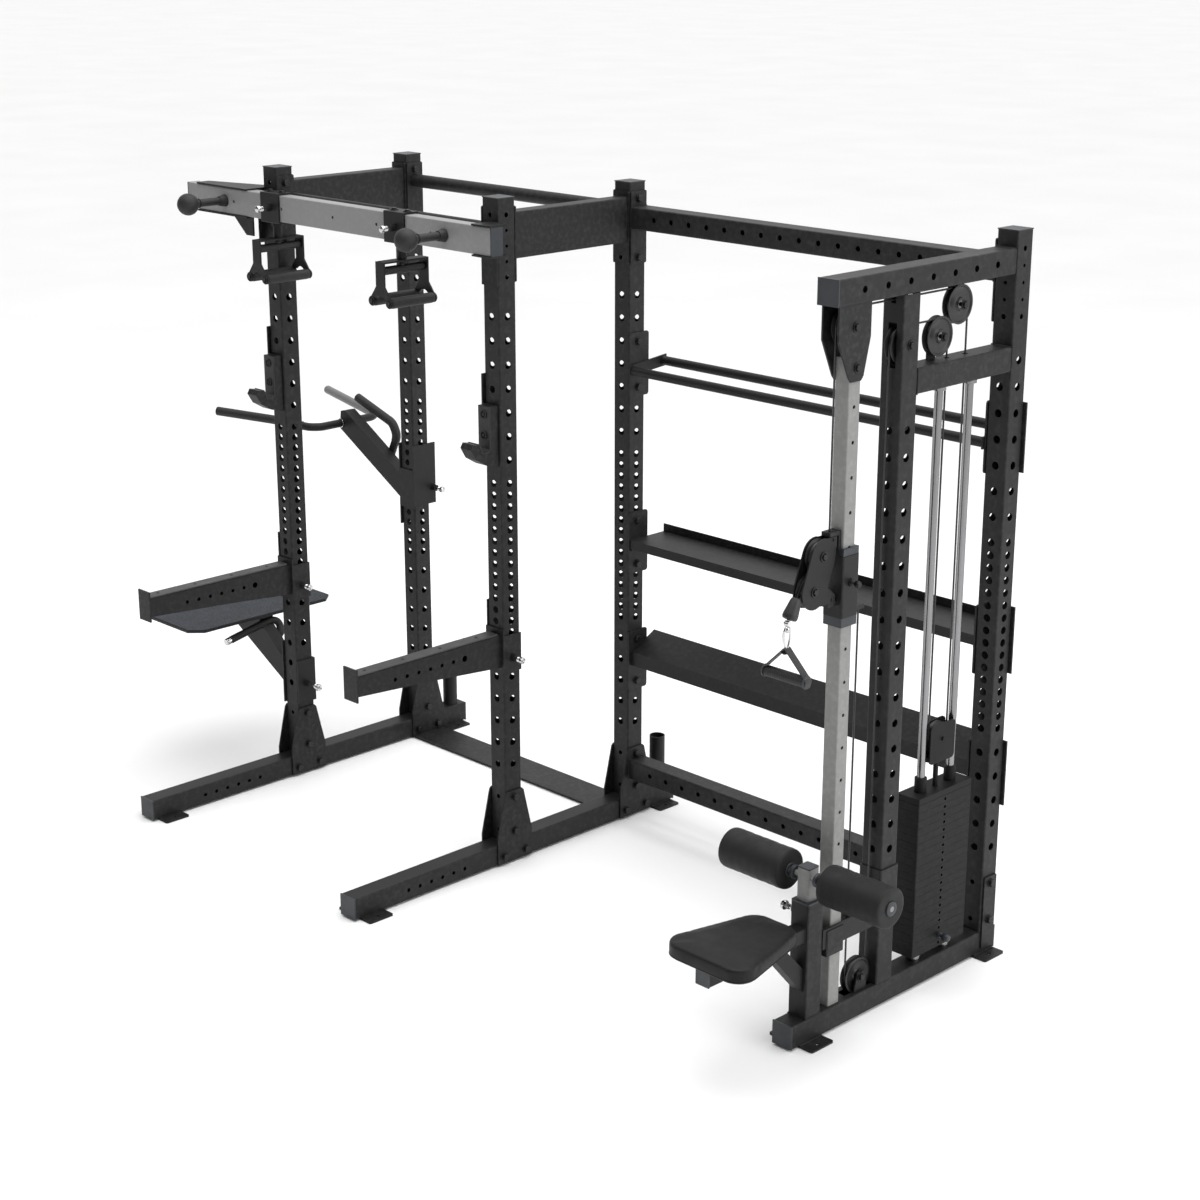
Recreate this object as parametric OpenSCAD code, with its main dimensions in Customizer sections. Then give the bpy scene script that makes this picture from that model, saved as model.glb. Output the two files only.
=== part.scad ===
// Power cage with a front handle rail, storage shelves and a selectorised cable tower.
// Z is up, X runs from the cage to the tower, Y from front to rear. Units are millimetres.

/* [Frame] */
// Outer width of the square frame tube
tube_w = 75; // [70:1:78]
// Wall thickness of the frame tube
tube_t = 3; // [2:0.5:4]
// Distance between the left and right cage posts, centre to centre
cage_w = 1180; // [1160:10:1240]
// Distance between the front and rear cage posts, centre to centre
cage_d = 600; // [580:10:640]
// Distance between the right rear cage post and the rear tower post
tower_w = 1586; // [1560:2:1640]
// Height of the post tops above the floor
post_top = 2313; // [2300:1:2360]
// Length of the base tubes in front of the front posts
base_front = 707; // [660:1:740]
// Length of the base tubes behind the rear posts
base_rear = 201; // [180:1:260]

/* [Adjustment holes] */
// Diameter of the adjustment holes
hole_d = 25; // [22:0.5:27]
// Distance between the holes in the coarse zones
hole_pitch = 80; // [80:1:80]
// Height of the highest adjustment hole
hole_top = 1927; // [1920:1:1935]

/* [Cable tower] */
// Diameter of the pulleys over their flanges
pulley_d = 116; // [112:1:118]
// Radius of the cable's centre line on a pulley
cable_r = 48; // [46:1:50]
// Diameter of the coated cable
cable_d = 6; // [5:0.5:7]
// Number of plates in the weight stack below the top plate
stack_plates = 20; // [16:1:20]
// Number of plates picked up by the selector pin
lifted_plates = 19; // [1:1:19]
// Distance from plate to plate in the weight stack
plate_pitch = 25.4; // [23:0.2:25.4]
// Width of the square guide post
guide_w = 50; // [48:1:52]

/* [Front rail] */
// Height of the front rail's section
rail_h = 92; // [88:1:94]
// Depth of the front rail's section
rail_t = 50; // [48:1:52]
// Place of the left handle trolley, from the left post
trolley_left = 105; // [100:1:130]
// Place of the right handle trolley, from the left post
trolley_right = 792; // [700:1:820]

/* [Seat] */
// Height of the seat's top edge above the floor
seat_top = 430; // [420:1:440]
// Diameter of the foam rollers
foam_d = 124; // [110:1:130]
// Height of the foam rollers' axle above the floor
foam_z = 526; // [510:1:550]

/* [Hidden] */
$fn = 48;
e = 0.01;

// Places of the posts
xc = 85.28;
xa = xc - cage_w;
xe = xc + tower_w;
yf = -84.81;
yr = yf + cage_d;
ym = yr - 520;
yg = yf - 145;
half = tube_w/2;
corner_r = 6;
plate_t = 6;
foot_t = 6;
base_top = foot_t + tube_w;
cage_posts = [[xa, yf], [xa, yr], [xc, yf], [xc, yr]];

// Heights of the adjustment holes: coarse, fine and coarse again
fine_pitch = hole_pitch/2;
fine_top = hole_top - 7*hole_pitch;
low_top = fine_top - 16*fine_pitch - fine_pitch;
post_holes = concat([for (k = [0:6]) hole_top - k*hole_pitch],
    [for (k = [0:15]) fine_top - k*fine_pitch],
    [for (k = [0:4]) low_top - k*hole_pitch]);
tower_holes = [for (k = [0:16]) 1800 - k*hole_pitch];
// Bolt heights of the joints at the top and the foot of a post
top_bolts = [2257, 2057];
foot_bolts = [245, 118];

// Beams
side_beam_z = 2110;
side_beam_h = 152;
storage_top_z = 2156;
storage_low_z = 153;
tower_top_z = 2186;
tower_top_front = yf - 241;
tower_mid_z = 1897;

// Cable system, in the tower's mid plane
top_pulley_y = yg - 10;
stack_y = yf + 340;
stack_groove = 44;
crown_y = stack_y + stack_groove - cable_r;
crown_z = 2123;
transfer_y = stack_y - stack_groove - cable_r;
transfer_z = 2042;
floor_pulley_y = ym - 2*cable_r;
floor_pulley_z = 126;
pulley_t = 24;
axle_r = 6;
stack_bottom = 112;
stack_top = stack_bottom + stack_plates*plate_pitch;
carrier_top = stack_top + 20;
stack_pulley_z = carrier_top + 158;
rod_gap = 145;
rod_r = 12.5;
// Pulley carriage
carriage_low = 1299;
carriage_high = 1479;
hood_top = 1553;
swivel_y = top_pulley_y - cable_r;
swivel_r = 48;
swivel_groove = 42;
upper_swivel = [swivel_y - swivel_groove, 1491];
lower_swivel = [swivel_y - 77, 1396];
// The cable leaves the lower pulley 30 degrees off the vertical
leave = 150;
leave_y = lower_swivel[0] + swivel_groove*cos(leave);
leave_z = lower_swivel[1] + swivel_groove*sin(leave);
eye_y = leave_y - 110*sin(leave);
eye_z = leave_z + 110*cos(leave);

// Front rail and trolleys
rail_z = 2139;
rail_y = yf - 87;
rail_x0 = xa - 398;
rail_x1 = xc + 90;
trolley_w = 105;
trolley_gap = 0.6;
pin_r = 5;
rail_holes = [rail_x0 + 280, xa + trolley_left, xa + trolley_left + 60, xa + trolley_left + 350,
    xa + trolley_right - 100, xa + trolley_right, xa + trolley_right + 180];

// Storage
shelf_holes = [[hole_top - 2*hole_pitch, hole_top - 4*hole_pitch],
    [fine_top - 6*fine_pitch, fine_top - 10*fine_pitch],
    [low_top, low_top - 2*hole_pitch]];
shelf_x = [xc + half, xe - half];
// Seat
sleeve_y = yf - 249;
sleeve_w = 68;
sleeve_top = 447;
roller_y = sleeve_y - 8;

// Outlines and tubes
module rounded(w, d, r) {
    square([w - 2*r, d], center = true);
    square([w, d - 2*r], center = true);
    for (x = [-1, 1], y = [-1, 1])
        translate([x*(w/2 - r), y*(d/2 - r)]) circle(r);
}
module tube_section(w, d, t, r) {
    difference() {
        rounded(w, d, r);
        square([w - 2*t, d - 2*t], center = true);
    }
}
module z_tube(x, y, z0, z1, w = tube_w, d = tube_w, t = tube_t, r = corner_r) {
    translate([x, y, z0]) linear_extrude(z1 - z0) tube_section(w, d, t, r);
}
module x_tube(x0, x1, y, z, w = tube_w, h = tube_w, t = tube_t, r = corner_r) {
    translate([x0, y, z]) rotate([0, 90, 0]) linear_extrude(x1 - x0) tube_section(h, w, t, r);
}
module y_tube(y0, y1, x, z, w = tube_w, h = tube_w, t = tube_t, r = corner_r) {
    translate([x, y0, z]) rotate([-90, 0, 0]) linear_extrude(y1 - y0) tube_section(w, h, t, r);
}
module x_rod(x0, x1, y, z, r) {
    translate([x0, y, z]) rotate([0, 90, 0]) cylinder(r = r, h = x1 - x0);
}
module y_rod(y0, y1, x, z, r) {
    translate([x, y0, z]) rotate([-90, 0, 0]) cylinder(r = r, h = y1 - y0);
}
module z_rod(z0, z1, x, y, r) {
    translate([x, y, z0]) cylinder(r = r, h = z1 - z0);
}
module box(x0, x1, y0, y1, z0, z1) {
    translate([x0, y0, z0]) cube([x1 - x0, y1 - y0, z1 - z0]);
}
// A flat plate across X whose outline is drawn in Y and Z
module yz_plate(x0, x1) {
    translate([x0, 0, 0]) rotate([90, 0, 90]) linear_extrude(x1 - x0) children();
}
// A flat plate across Y whose outline is drawn in X and Z
module xz_plate(y0, y1) {
    translate([0, y1, 0]) rotate([90, 0, 0]) linear_extrude(y1 - y0) children();
}
// A straight bar between two points, with round ends that join bent bars
module bar_between(a, b, r) {
    d = b - a;
    length = norm(d);
    translate(a) rotate([0, acos(d[2]/length), atan2(d[1], d[0])]) cylinder(r = r, h = length);
}
// Round bend at corner p, turning from direction a to direction b
module bend(p, a, b, r, bend_r) {
    angle = acos(a*b);
    axis = cross(a, b)/sin(angle);
    side = cross(axis, a);
    centre = p - a*bend_r*tan(angle/2) + side*bend_r;
    multmatrix([[-side[0], a[0], axis[0], centre[0]], [-side[1], a[1], axis[1], centre[1]],
        [-side[2], a[2], axis[2], centre[2]], [0, 0, 0, 1]])
        rotate_extrude(angle = angle) translate([bend_r, 0]) circle(r - 0.05);
}
// Bar along straight runs, with a round bend at each corner between them
module bent_bar(points, r, bend_r) {
    last = len(points) - 1;
    overlap = 0.8;
    runs = [for (i = [0:last - 1]) (points[i + 1] - points[i])/norm(points[i + 1] - points[i])];
    trims = [for (i = [0:last]) i == 0 || i == last ? 0 : bend_r*tan(acos(runs[i - 1]*runs[i])/2) - overlap];
    for (i = [0:last - 1]) bar_between(points[i] + runs[i]*trims[i], points[i + 1] - runs[i]*trims[i + 1], r);
    for (i = [1:last - 1]) bend(points[i], runs[i - 1], runs[i], r, bend_r);
}
module hex_bolt_x(x, y, z, side) {
    translate([x, y, z]) rotate([0, 90*side, 0]) {
        cylinder(r = 15, h = 3);
        cylinder(r = 13, h = 12, $fn = 6);
        translate([0, 0, -plate_t - tube_t]) cylinder(r = 8, h = plate_t + tube_t + 1);
    }
}
module hex_bolt_y(x, y, z, side) {
    translate([x, y, z]) rotate([-90*side, 0, 0]) {
        cylinder(r = 15, h = 3);
        cylinder(r = 13, h = 12, $fn = 6);
        translate([0, 0, -plate_t - tube_t]) cylinder(r = 8, h = plate_t + tube_t + 1);
    }
}

// Base tubes with their welded foot plates and bar holders
module foot_plate(x, y) {
    difference() {
        translate([x, y, 0]) linear_extrude(foot_t) rounded(170, 100, 8);
        for (s = [-1, 1]) z_rod(-e, foot_t + e, x + s*62, y, 7);
    }
}
module cage_base(x) {
    y0 = yf - base_front;
    y1 = yr + base_rear;
    foot_plate(x, y0 + 71);
    foot_plate(x, y1 - 62);
    difference() {
        y_tube(y0, y1, x, foot_t + half);
        for (k = [0:5]) x_rod(x - half - e, x + half + e, yf - 480 + 50*k, 42, 7);
        for (p = [yf, yr]) for (s = [-50, 50])
            x_rod(x - half - e, x + half + e, p + s, 34, 8.1);
    }
    difference() {
        z_rod(base_top, 262, x, yr + 155, 28.5);
        z_rod(base_top + 4, 263, x, yr + 155, 25.5);
    }
}
module cage_bases() {
    color("#2b2b2c") {
        cage_base(xa);
        cage_base(xc);
        // Cross plate that ties the two bases together behind the rear posts
        box(xa + half + plate_t, xc - half - plate_t, yr - 75, yr + 75, foot_t, foot_t + 6);
    }
}
module tower_base() {
    color("#2b2b2c") {
        foot_plate(xe, yf - 342 + 84);
        foot_plate(xe, yr - 12);
        difference() {
            y_tube(yf - 342, yr + 41, xe, foot_t + half);
            box(xe - 15, xe + 15, floor_pulley_y - 64, floor_pulley_y + 64, base_top - 20, base_top + e);
        }
    }
}
// Posts
module drilled_post(x, y, z0, holes) {
    difference() {
        z_tube(x, y, z0, post_top - 3);
        for (z = holes) {
            x_rod(x - half - e, x + half + e, y, z, hole_d/2);
            y_rod(y - half - e, y + half + e, x, z, hole_d/2);
        }
        for (z = [2207, 2157, 2107]) {
            x_rod(x - half - e, x + half + e, y, z, 5.5);
            y_rod(y - half - e, y + half + e, x, z, 5.5);
        }
        for (z = concat(top_bolts, foot_bolts)) {
            x_rod(x - half - e, x + half + e, y, z, 8.1);
            y_rod(y - half - e, y + half + e, x, z, 8.1);
        }
    }
}
module front_posts() { color("#303031") for (x = [xa, xc]) drilled_post(x, yf, base_top, post_holes); }
module rear_posts() { color("#303031") for (x = [xa, xc]) drilled_post(x, yr, base_top, post_holes); }
module tower_rear_post() { color("#303031") drilled_post(xe, yr, base_top, post_holes); }
module tower_front_post() {
    color("#303031")
    difference() {
        z_tube(xe, ym, base_top, tower_top_z);
        for (z = tower_holes) {
            x_rod(xe - half - e, xe + half + e, ym, z, hole_d/2);
            y_rod(ym - half - e, ym + half + e, xe, z, hole_d/2);
        }
        box(xe - 15, xe + 15, ym - half - e, ym + half + e, transfer_z - 64, transfer_z + 64);
        x_rod(xe - half - e, xe + half + e, ym, transfer_z, axle_r + 0.2);
        box(xe - 8, xe + 8, ym - half - e, ym + half + e, 2160, 2183);
    }
}

// Plates that join the beams and bases to the posts
module foot_gusset(x, y, side) {
    x0 = x + side*half;
    difference() {
        yz_plate(side > 0 ? x0 : x0 - plate_t, side > 0 ? x0 + plate_t : x0)
            polygon([[y - 80, foot_t + 2], [y + 80, foot_t + 2], [y + 80, 104], [y + 42, 262],
                [y + 34, 270], [y - 34, 270], [y - 42, 262], [y - 80, 104]]);
        for (z = foot_bolts) x_rod(x0 - 8, x0 + 8, y, z, 8.1);
        for (s = [-50, 50]) x_rod(x0 - 8, x0 + 8, y + s, 34, 8.1);
    }
}
module x_flange(x, y, side, z0, z1, w = tube_w - 1) {
    x0 = x + side*half;
    difference() {
        yz_plate(side > 0 ? x0 : x0 - plate_t, side > 0 ? x0 + plate_t : x0)
            translate([y, (z0 + z1)/2]) rounded(w, z1 - z0, 6);
        for (z = concat(top_bolts, foot_bolts)) x_rod(x0 - 8, x0 + 8, y, z, 8.1);
    }
}
module y_flange(x, y, side, z0, z1) {
    y0 = y + side*half;
    difference() {
        xz_plate(side > 0 ? y0 : y0 - plate_t, side > 0 ? y0 + plate_t : y0)
            translate([x, (z0 + z1)/2]) rounded(tube_w - 1, z1 - z0, 6);
        for (z = top_bolts) y_rod(y0 - 8, y0 + 8, x, z, 8.1);
    }
}
module joint_plates() {
    flange_low = 2036;
    flange_high = 2282;
    color("#262627") {
        for (p = cage_posts) for (s = [-1, 1]) foot_gusset(p[0], p[1], s);
        for (s = [-1, 1]) x_flange(xe, yr, s, base_top - 60, 268, 62);
        for (p = cage_posts) x_flange(p[0], p[1], p[0] < 0 ? 1 : -1, flange_low, flange_high);
        x_flange(xc, yr, 1, flange_low, flange_high);
        x_flange(xe, yr, -1, flange_low, flange_high);
        for (x = [xa, xc]) {
            y_flange(x, yf, 1, flange_low, flange_high);
            y_flange(x, yr, -1, flange_low, flange_high);
        }
    }
}
module side_beams() {
    color("#303031")
    for (x = [xa, xc])
        y_tube(yf + half + plate_t, yr - half - plate_t, x, side_beam_z + side_beam_h/2, 60, side_beam_h, 3, 5);
}
module pull_up_bars() {
    x0 = xa + half + plate_t;
    x1 = xc - half - plate_t;
    color("#2b2b2c") {
        x_rod(x0, x1, yf, 2213, 14);
        x_rod(x0, x1, yr, 2215, 24);
    }
}

// Rail across the front with its brackets
module rail_bracket(x0, x1) {
    for (z = [rail_z - plate_t, rail_z + rail_h])
        box(x0, x1, rail_y - rail_t/2 - 6, yf - half, z, z + plate_t);
}
module front_rail() {
    color("#9c9c9c")
    difference() {
        x_tube(rail_x0, rail_x1 - 6, rail_y, rail_z + rail_h/2, rail_t, rail_h, 3, 4);
        for (x = rail_holes)
            y_rod(rail_y - rail_t/2 - 1, rail_y, x, rail_z + rail_h/2, pin_r + 0.5);
    }
}
module rail_brackets() {
    color("#262627") {
        rail_bracket(xc, rail_x1);
        box(xc - half, xc + half, yf - half - plate_t, yf - half, 2030, rail_z - plate_t);
        box(xa - half, xa + half, yf - half - plate_t, yf - half, 2030, rail_z - plate_t);
        // Top and bottom triangles carry the overhanging left end
        for (z = [rail_z - plate_t, rail_z + rail_h])
            translate([0, 0, z]) linear_extrude(plate_t)
                polygon([[rail_x0 + 60, rail_y - rail_t/2 - 4], [xa - half, rail_y - rail_t/2 - 4],
                    [xa - half - e, yf + 20], [xa - half - 14, yf + 20], [rail_x0 + 60, rail_y + rail_t/2]]);
        xz_plate(rail_y - 3, rail_y + 3)
            difference() {
                polygon([[xa - 155, rail_z - plate_t], [xa - half, rail_z - plate_t],
                    [xa - half, 2068], [xa - 80, 2068]]);
                translate([xa - 190, 2040]) circle(70);
            }
        box(xa - half - plate_t, xa - half, rail_y + rail_t/2, yf + half, 2050, rail_z + rail_h + plate_t);
    }
}
module ball_grip(x) {
    y0 = rail_y - rail_t/2;
    z0 = rail_z + rail_h/2;
    translate([x, y0, z0]) rotate([90, 0, 0]) {
        translate([0, 0, 2]) cylinder(r1 = 22, r2 = 17, h = 26);
        cylinder(r = 14, h = 130);
        translate([0, 0, 160]) sphere(39);
    }
}
module ball_grips() {
    color("#222223") {
        ball_grip(xa - 170);
        ball_grip(xc - 140);
    }
}

// Beams of the storage bay and the tower
module storage_beam_pair() {
    x0 = xc + half + plate_t;
    x1 = xe - half - plate_t;
    for (z = [storage_top_z, storage_low_z])
        difference() {
            x_tube(x0, x1, yr, z + half);
            for (k = [0:16])
                y_rod(yr - half - e, yr + half + e, xc + 150 + k*hole_pitch, z + half + 2, 9);
        }
}
module tower_beams() {
    color("#303031") {
        storage_beam_pair();
        difference() {
            y_tube(tower_top_front + 4, yr - half, xe, tower_top_z + half);
            for (k = [0:6]) x_rod(xe - half - e, xe + half + e, yf - 130 + 100*k, tower_top_z + half, 10);
        }
        difference() {
            y_tube(ym + half, yr - half, xe, tower_mid_z + half);
            for (s = [-1, 1]) z_rod(tower_mid_z - e, tower_mid_z + tube_w + e, xe, stack_y + s*stack_groove, 9);
        }
    }
}
module pulley_brackets() {
    y0 = yg - 82;
    y1 = yg + 54;
    color("#333334") {
        for (s = [-1, 1])
            difference() {
                yz_plate(xe + s*28.5 - 3, xe + s*28.5 + 3)
                    polygon([[y0, tower_top_z], [y1, tower_top_z], [y1, 2090], [y1 - 26, 1984],
                        [y1 - 36, 1972], [yg - 24, 1972], [yg - 34, 1984], [y0, 2090]]);
                x_rod(xe - 40, xe + 40, top_pulley_y, crown_z, axle_r + 0.2);
                x_rod(xe - 40, xe + 40, yg, 2010, 8.1);
            }
        // Hangers of the crown and transfer pulleys
        for (p = [[crown_y, crown_z, tower_top_z], [transfer_y, transfer_z, tower_mid_z + tube_w]])
            difference() {
                box(xe - 24, xe - 18, p[0] - 18, p[0] + 18, min(p[1] - 18, p[2]), max(p[1] + 18, p[2]));
                x_rod(xe - 30, xe, p[0], p[1], axle_r + 0.2);
            }
        for (s = [-1, 1])
            difference() {
                yz_plate(xe + s*20 - 3, xe + s*20 + 3)
                    polygon([[floor_pulley_y - 30, base_top], [floor_pulley_y + 30, base_top],
                        [floor_pulley_y + 14, 142], [floor_pulley_y - 14, 142]]);
                x_rod(xe - 30, xe + 30, floor_pulley_y, floor_pulley_z, axle_r + 0.2);
            }
    }
}
module guide_post() {
    color("#9b9a98")
    difference() {
        z_tube(xe, yg, base_top, 2037, guide_w, guide_w, 3, 4);
        x_rod(xe - 40, xe + 40, yg, 2010, 8.1);
        for (k = [0:14]) x_rod(xe, xe + 40, yg, 500 + 100*k, pin_r + 0.5);
    }
}
module guide_rods() {
    for (s = [-1, 1]) {
        y = stack_y + s*rod_gap/2;
        color("silver") z_rod(base_top, tower_mid_z, xe, y, rod_r);
        color("#222223")
        difference() {
            z_rod(tower_mid_z - 14, tower_mid_z, xe, y, 21);
            z_rod(tower_mid_z - 15, tower_mid_z + 1, xe, y, rod_r);
        }
        color("#222223")
        difference() {
            z_rod(base_top, stack_bottom, xe, y, 24);
            z_rod(base_top - 1, stack_bottom + 1, xe, y, rod_r);
        }
    }
}

// Weight stack
module stack_outline() { rounded(84, 262, 4); }
module stack_plate_set(first, last) {
    for (k = [first:last])
        difference() {
            translate([xe, stack_y, stack_bottom + k*plate_pitch]) linear_extrude(plate_pitch - 0.6)
                difference() {
                    stack_outline();
                    circle(13.5);
                    for (s = [-1, 1]) translate([0, s*rod_gap/2]) circle(rod_r + 1);
                }
            x_rod(xe, xe + 50, stack_y, stack_bottom + (k + 0.5)*plate_pitch, 5.5);
        }
}
module weight_stack() {
    color("#2a2a2b") stack_plate_set(0, stack_plates - lifted_plates - 1);
}
module stack_carrier() {
    color("#2a2a2b") {
        stack_plate_set(stack_plates - lifted_plates, stack_plates - 1);
        translate([xe, stack_y, stack_top + 0.5]) linear_extrude(carrier_top - stack_top - 0.5)
            difference() {
                stack_outline();
                for (s = [-1, 1]) translate([0, s*rod_gap/2]) circle(rod_r + 0.8);
            }
        for (s = [-1, 1])
            difference() {
                z_rod(carrier_top, carrier_top + 46, xe, stack_y + s*rod_gap/2, 19);
                z_rod(carrier_top - e, carrier_top + 47, xe, stack_y + s*rod_gap/2, rod_r + 0.8);
            }
        for (s = [-1, 1])
            difference() {
                yz_plate(xe + s*19 - 2.5, xe + s*19 + 2.5)
                    translate([stack_y, carrier_top + 147]) rounded(120, 124, 14);
                x_rod(xe - 30, xe + 30, stack_y, stack_pulley_z, axle_r);
            }
        x_rod(xe - 27, xe + 27, stack_y, stack_pulley_z, axle_r);
        cable_arc(stack_y, stack_pulley_z, stack_groove, -180, 0);
        box(xe - 19, xe + 19, stack_y - 40, stack_y + 40, carrier_top + 86, carrier_top + 98);
        z_rod(carrier_top - 1, carrier_top + 87, xe, stack_y, 8);
    }
    color("silver")
    difference() {
        z_rod(stack_bottom + 4, stack_top + 1, xe, stack_y, 12.5);
        for (k = [0:stack_plates - 1])
            x_rod(xe, xe + 20, stack_y, stack_bottom + (k + 0.5)*plate_pitch, 5.5);
    }
}
module selector_pin() {
    z = stack_bottom + (stack_plates - lifted_plates + 0.5)*plate_pitch;
    color("silver") x_rod(xe + 1, xe + 62, stack_y, z, 4.5);
    color("#8d2020") {
        x_rod(xe + 44, xe + 50, stack_y, z, 9);
        x_rod(xe + 60, xe + 84, stack_y, z, 13);
    }
}

// Pulleys
module pulley(y, z, r = pulley_d/2, groove = cable_r, bore = axle_r + 0.05, t = pulley_t) {
    translate([xe, y, z]) rotate([0, 90, 0]) translate([0, 0, -t/2])
        rotate_extrude()
            polygon([[bore, 0], [r, 0], [r, 2.5], [groove - cable_d/2 - 0.4, t/2 - 3.6],
                [groove - cable_d/2 - 0.4, t/2 + 3.6], [r, t - 2.5], [r, t], [bore, t]]);
}
module stack_pulley() { color("#1f1f20") pulley(stack_y, stack_pulley_z, 50, 44); }
module top_pulley() { color("#1f1f20") pulley(top_pulley_y, crown_z, 56); }
module post_pulley() { color("#1f1f20") pulley(ym, transfer_z); }
module crown_pulley() { color("#1f1f20") pulley(crown_y, crown_z); }
module transfer_pulley() { color("#1f1f20") pulley(transfer_y, transfer_z); }
module floor_pulley() { color("#1f1f20") pulley(floor_pulley_y, floor_pulley_z, 57); }
module upper_swivel_pulley() {
    color("#1f1f20") pulley(upper_swivel[0], upper_swivel[1], swivel_r, swivel_groove);
}
module lower_swivel_pulley() {
    color("#1f1f20") pulley(lower_swivel[0], lower_swivel[1], swivel_r, swivel_groove);
}

// Cables; an arc's angle runs from the rear towards the top
module cable_arc(y, z, r, a0, a1) {
    translate([xe, y, z]) rotate([90, 0, 90]) rotate([0, 0, a0])
        rotate_extrude(angle = a1 - a0) translate([r, 0]) circle(cable_d/2);
}
module cable_z(y, z0, z1) { z_rod(z0, z1, xe, y, cable_d/2); }
module cable_y(y0, y1, z) { y_rod(y0, y1, xe, z, cable_d/2); }
module tower_cables() {
    color("#151515") {
        cable_arc(top_pulley_y, crown_z, cable_r, 90, 180);
        cable_y(top_pulley_y, crown_y, crown_z + cable_r);
        cable_arc(crown_y, crown_z, cable_r, 0, 90);
        cable_z(crown_y + cable_r, transfer_z, crown_z);
        cable_arc(transfer_y, transfer_z, cable_r, 0, 90);
        cable_y(ym, transfer_y, transfer_z + cable_r);
        cable_arc(ym, transfer_z, cable_r, 90, 180);
        cable_z(ym - cable_r, floor_pulley_z, transfer_z);
        cable_arc(floor_pulley_y, floor_pulley_z, cable_r, -180, 0);
    }
}
cable_gap = 0.4;
module stack_cable() {
    color("#151515")
    for (s = [-1, 1]) cable_z(stack_y + s*stack_groove, stack_pulley_z + cable_gap, transfer_z - cable_gap);
}
module upper_carriage_cable() {
    color("#151515") cable_z(swivel_y, hood_top + 2 + cable_gap, crown_z - cable_gap);
}
module lower_carriage_cable() {
    color("#151515") cable_z(floor_pulley_y - cable_r, floor_pulley_z + cable_gap, carriage_low - cable_gap);
}

// Pulley carriage on the guide post
slide_gap = 0.5;
lug_t = 12;
swivel_low = 1336;
module pulley_carriage() {
    w = guide_w + 2*slide_gap;
    color("#303031") {
        difference() {
            z_tube(xe, yg, carriage_low, carriage_high, w + 20, w + 20, 10, 6);
            x_rod(xe, xe + 60, yg, 1400, pin_r + 0.05);
        }
        // Anchor of the lower cable
        box(xe - 12, xe + 12, yg + w/2 + 10, floor_pulley_y - cable_r + 12, carriage_low, carriage_low + 14);
        // Boss of the pull pin
        difference() {
            x_rod(xe + w/2 + 9, xe + w/2 + 15, yg, 1400, 12);
            x_rod(xe, xe + 90, yg, 1400, pin_r + 0.05);
        }
        // Hood that carries the top trunnion
        box(xe - 16, xe + 16, yg - w/2 - 10, yg - w/2, carriage_high - 1, hood_top);
        for (z = [swivel_low, hood_top - lug_t])
            difference() {
                box(xe - 16, xe + 16, swivel_y - 15, yg - w/2 - 9, z, z + lug_t);
                z_rod(z - 1, z + lug_t + 1, xe, swivel_y, 10.05);
            }
    }
    color("#2d3237")
    for (z = [[1271, carriage_low], [carriage_high, 1501]])
        difference() {
            z_tube(xe, yg, z[0], z[1], w + 14, w + 14, 7, 5);
            box(xe - 16.2, xe + 16.2, yg - w/2 - 20, yg - w/2 + 0.2, carriage_high, hood_top);
        }
}
// A round pull pin: the tip, the body and a knob; drawn out of its hole
module pull_pin(tip, stem, knob_r, knob_l) {
    cylinder(r = pin_r, h = tip + stem);
    translate([0, 0, tip + stem]) cylinder(r = knob_r, h = knob_l);
    translate([0, 0, tip + stem - 8]) cylinder(r = knob_r*0.7, h = 8.5);
}
module carriage_pin() {
    color("silver") translate([xe + guide_w/2 + slide_gap + 0.2, yg, 1400]) rotate([0, 90, 0])
        pull_pin(18, 14, 10, 12);
}
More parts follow.
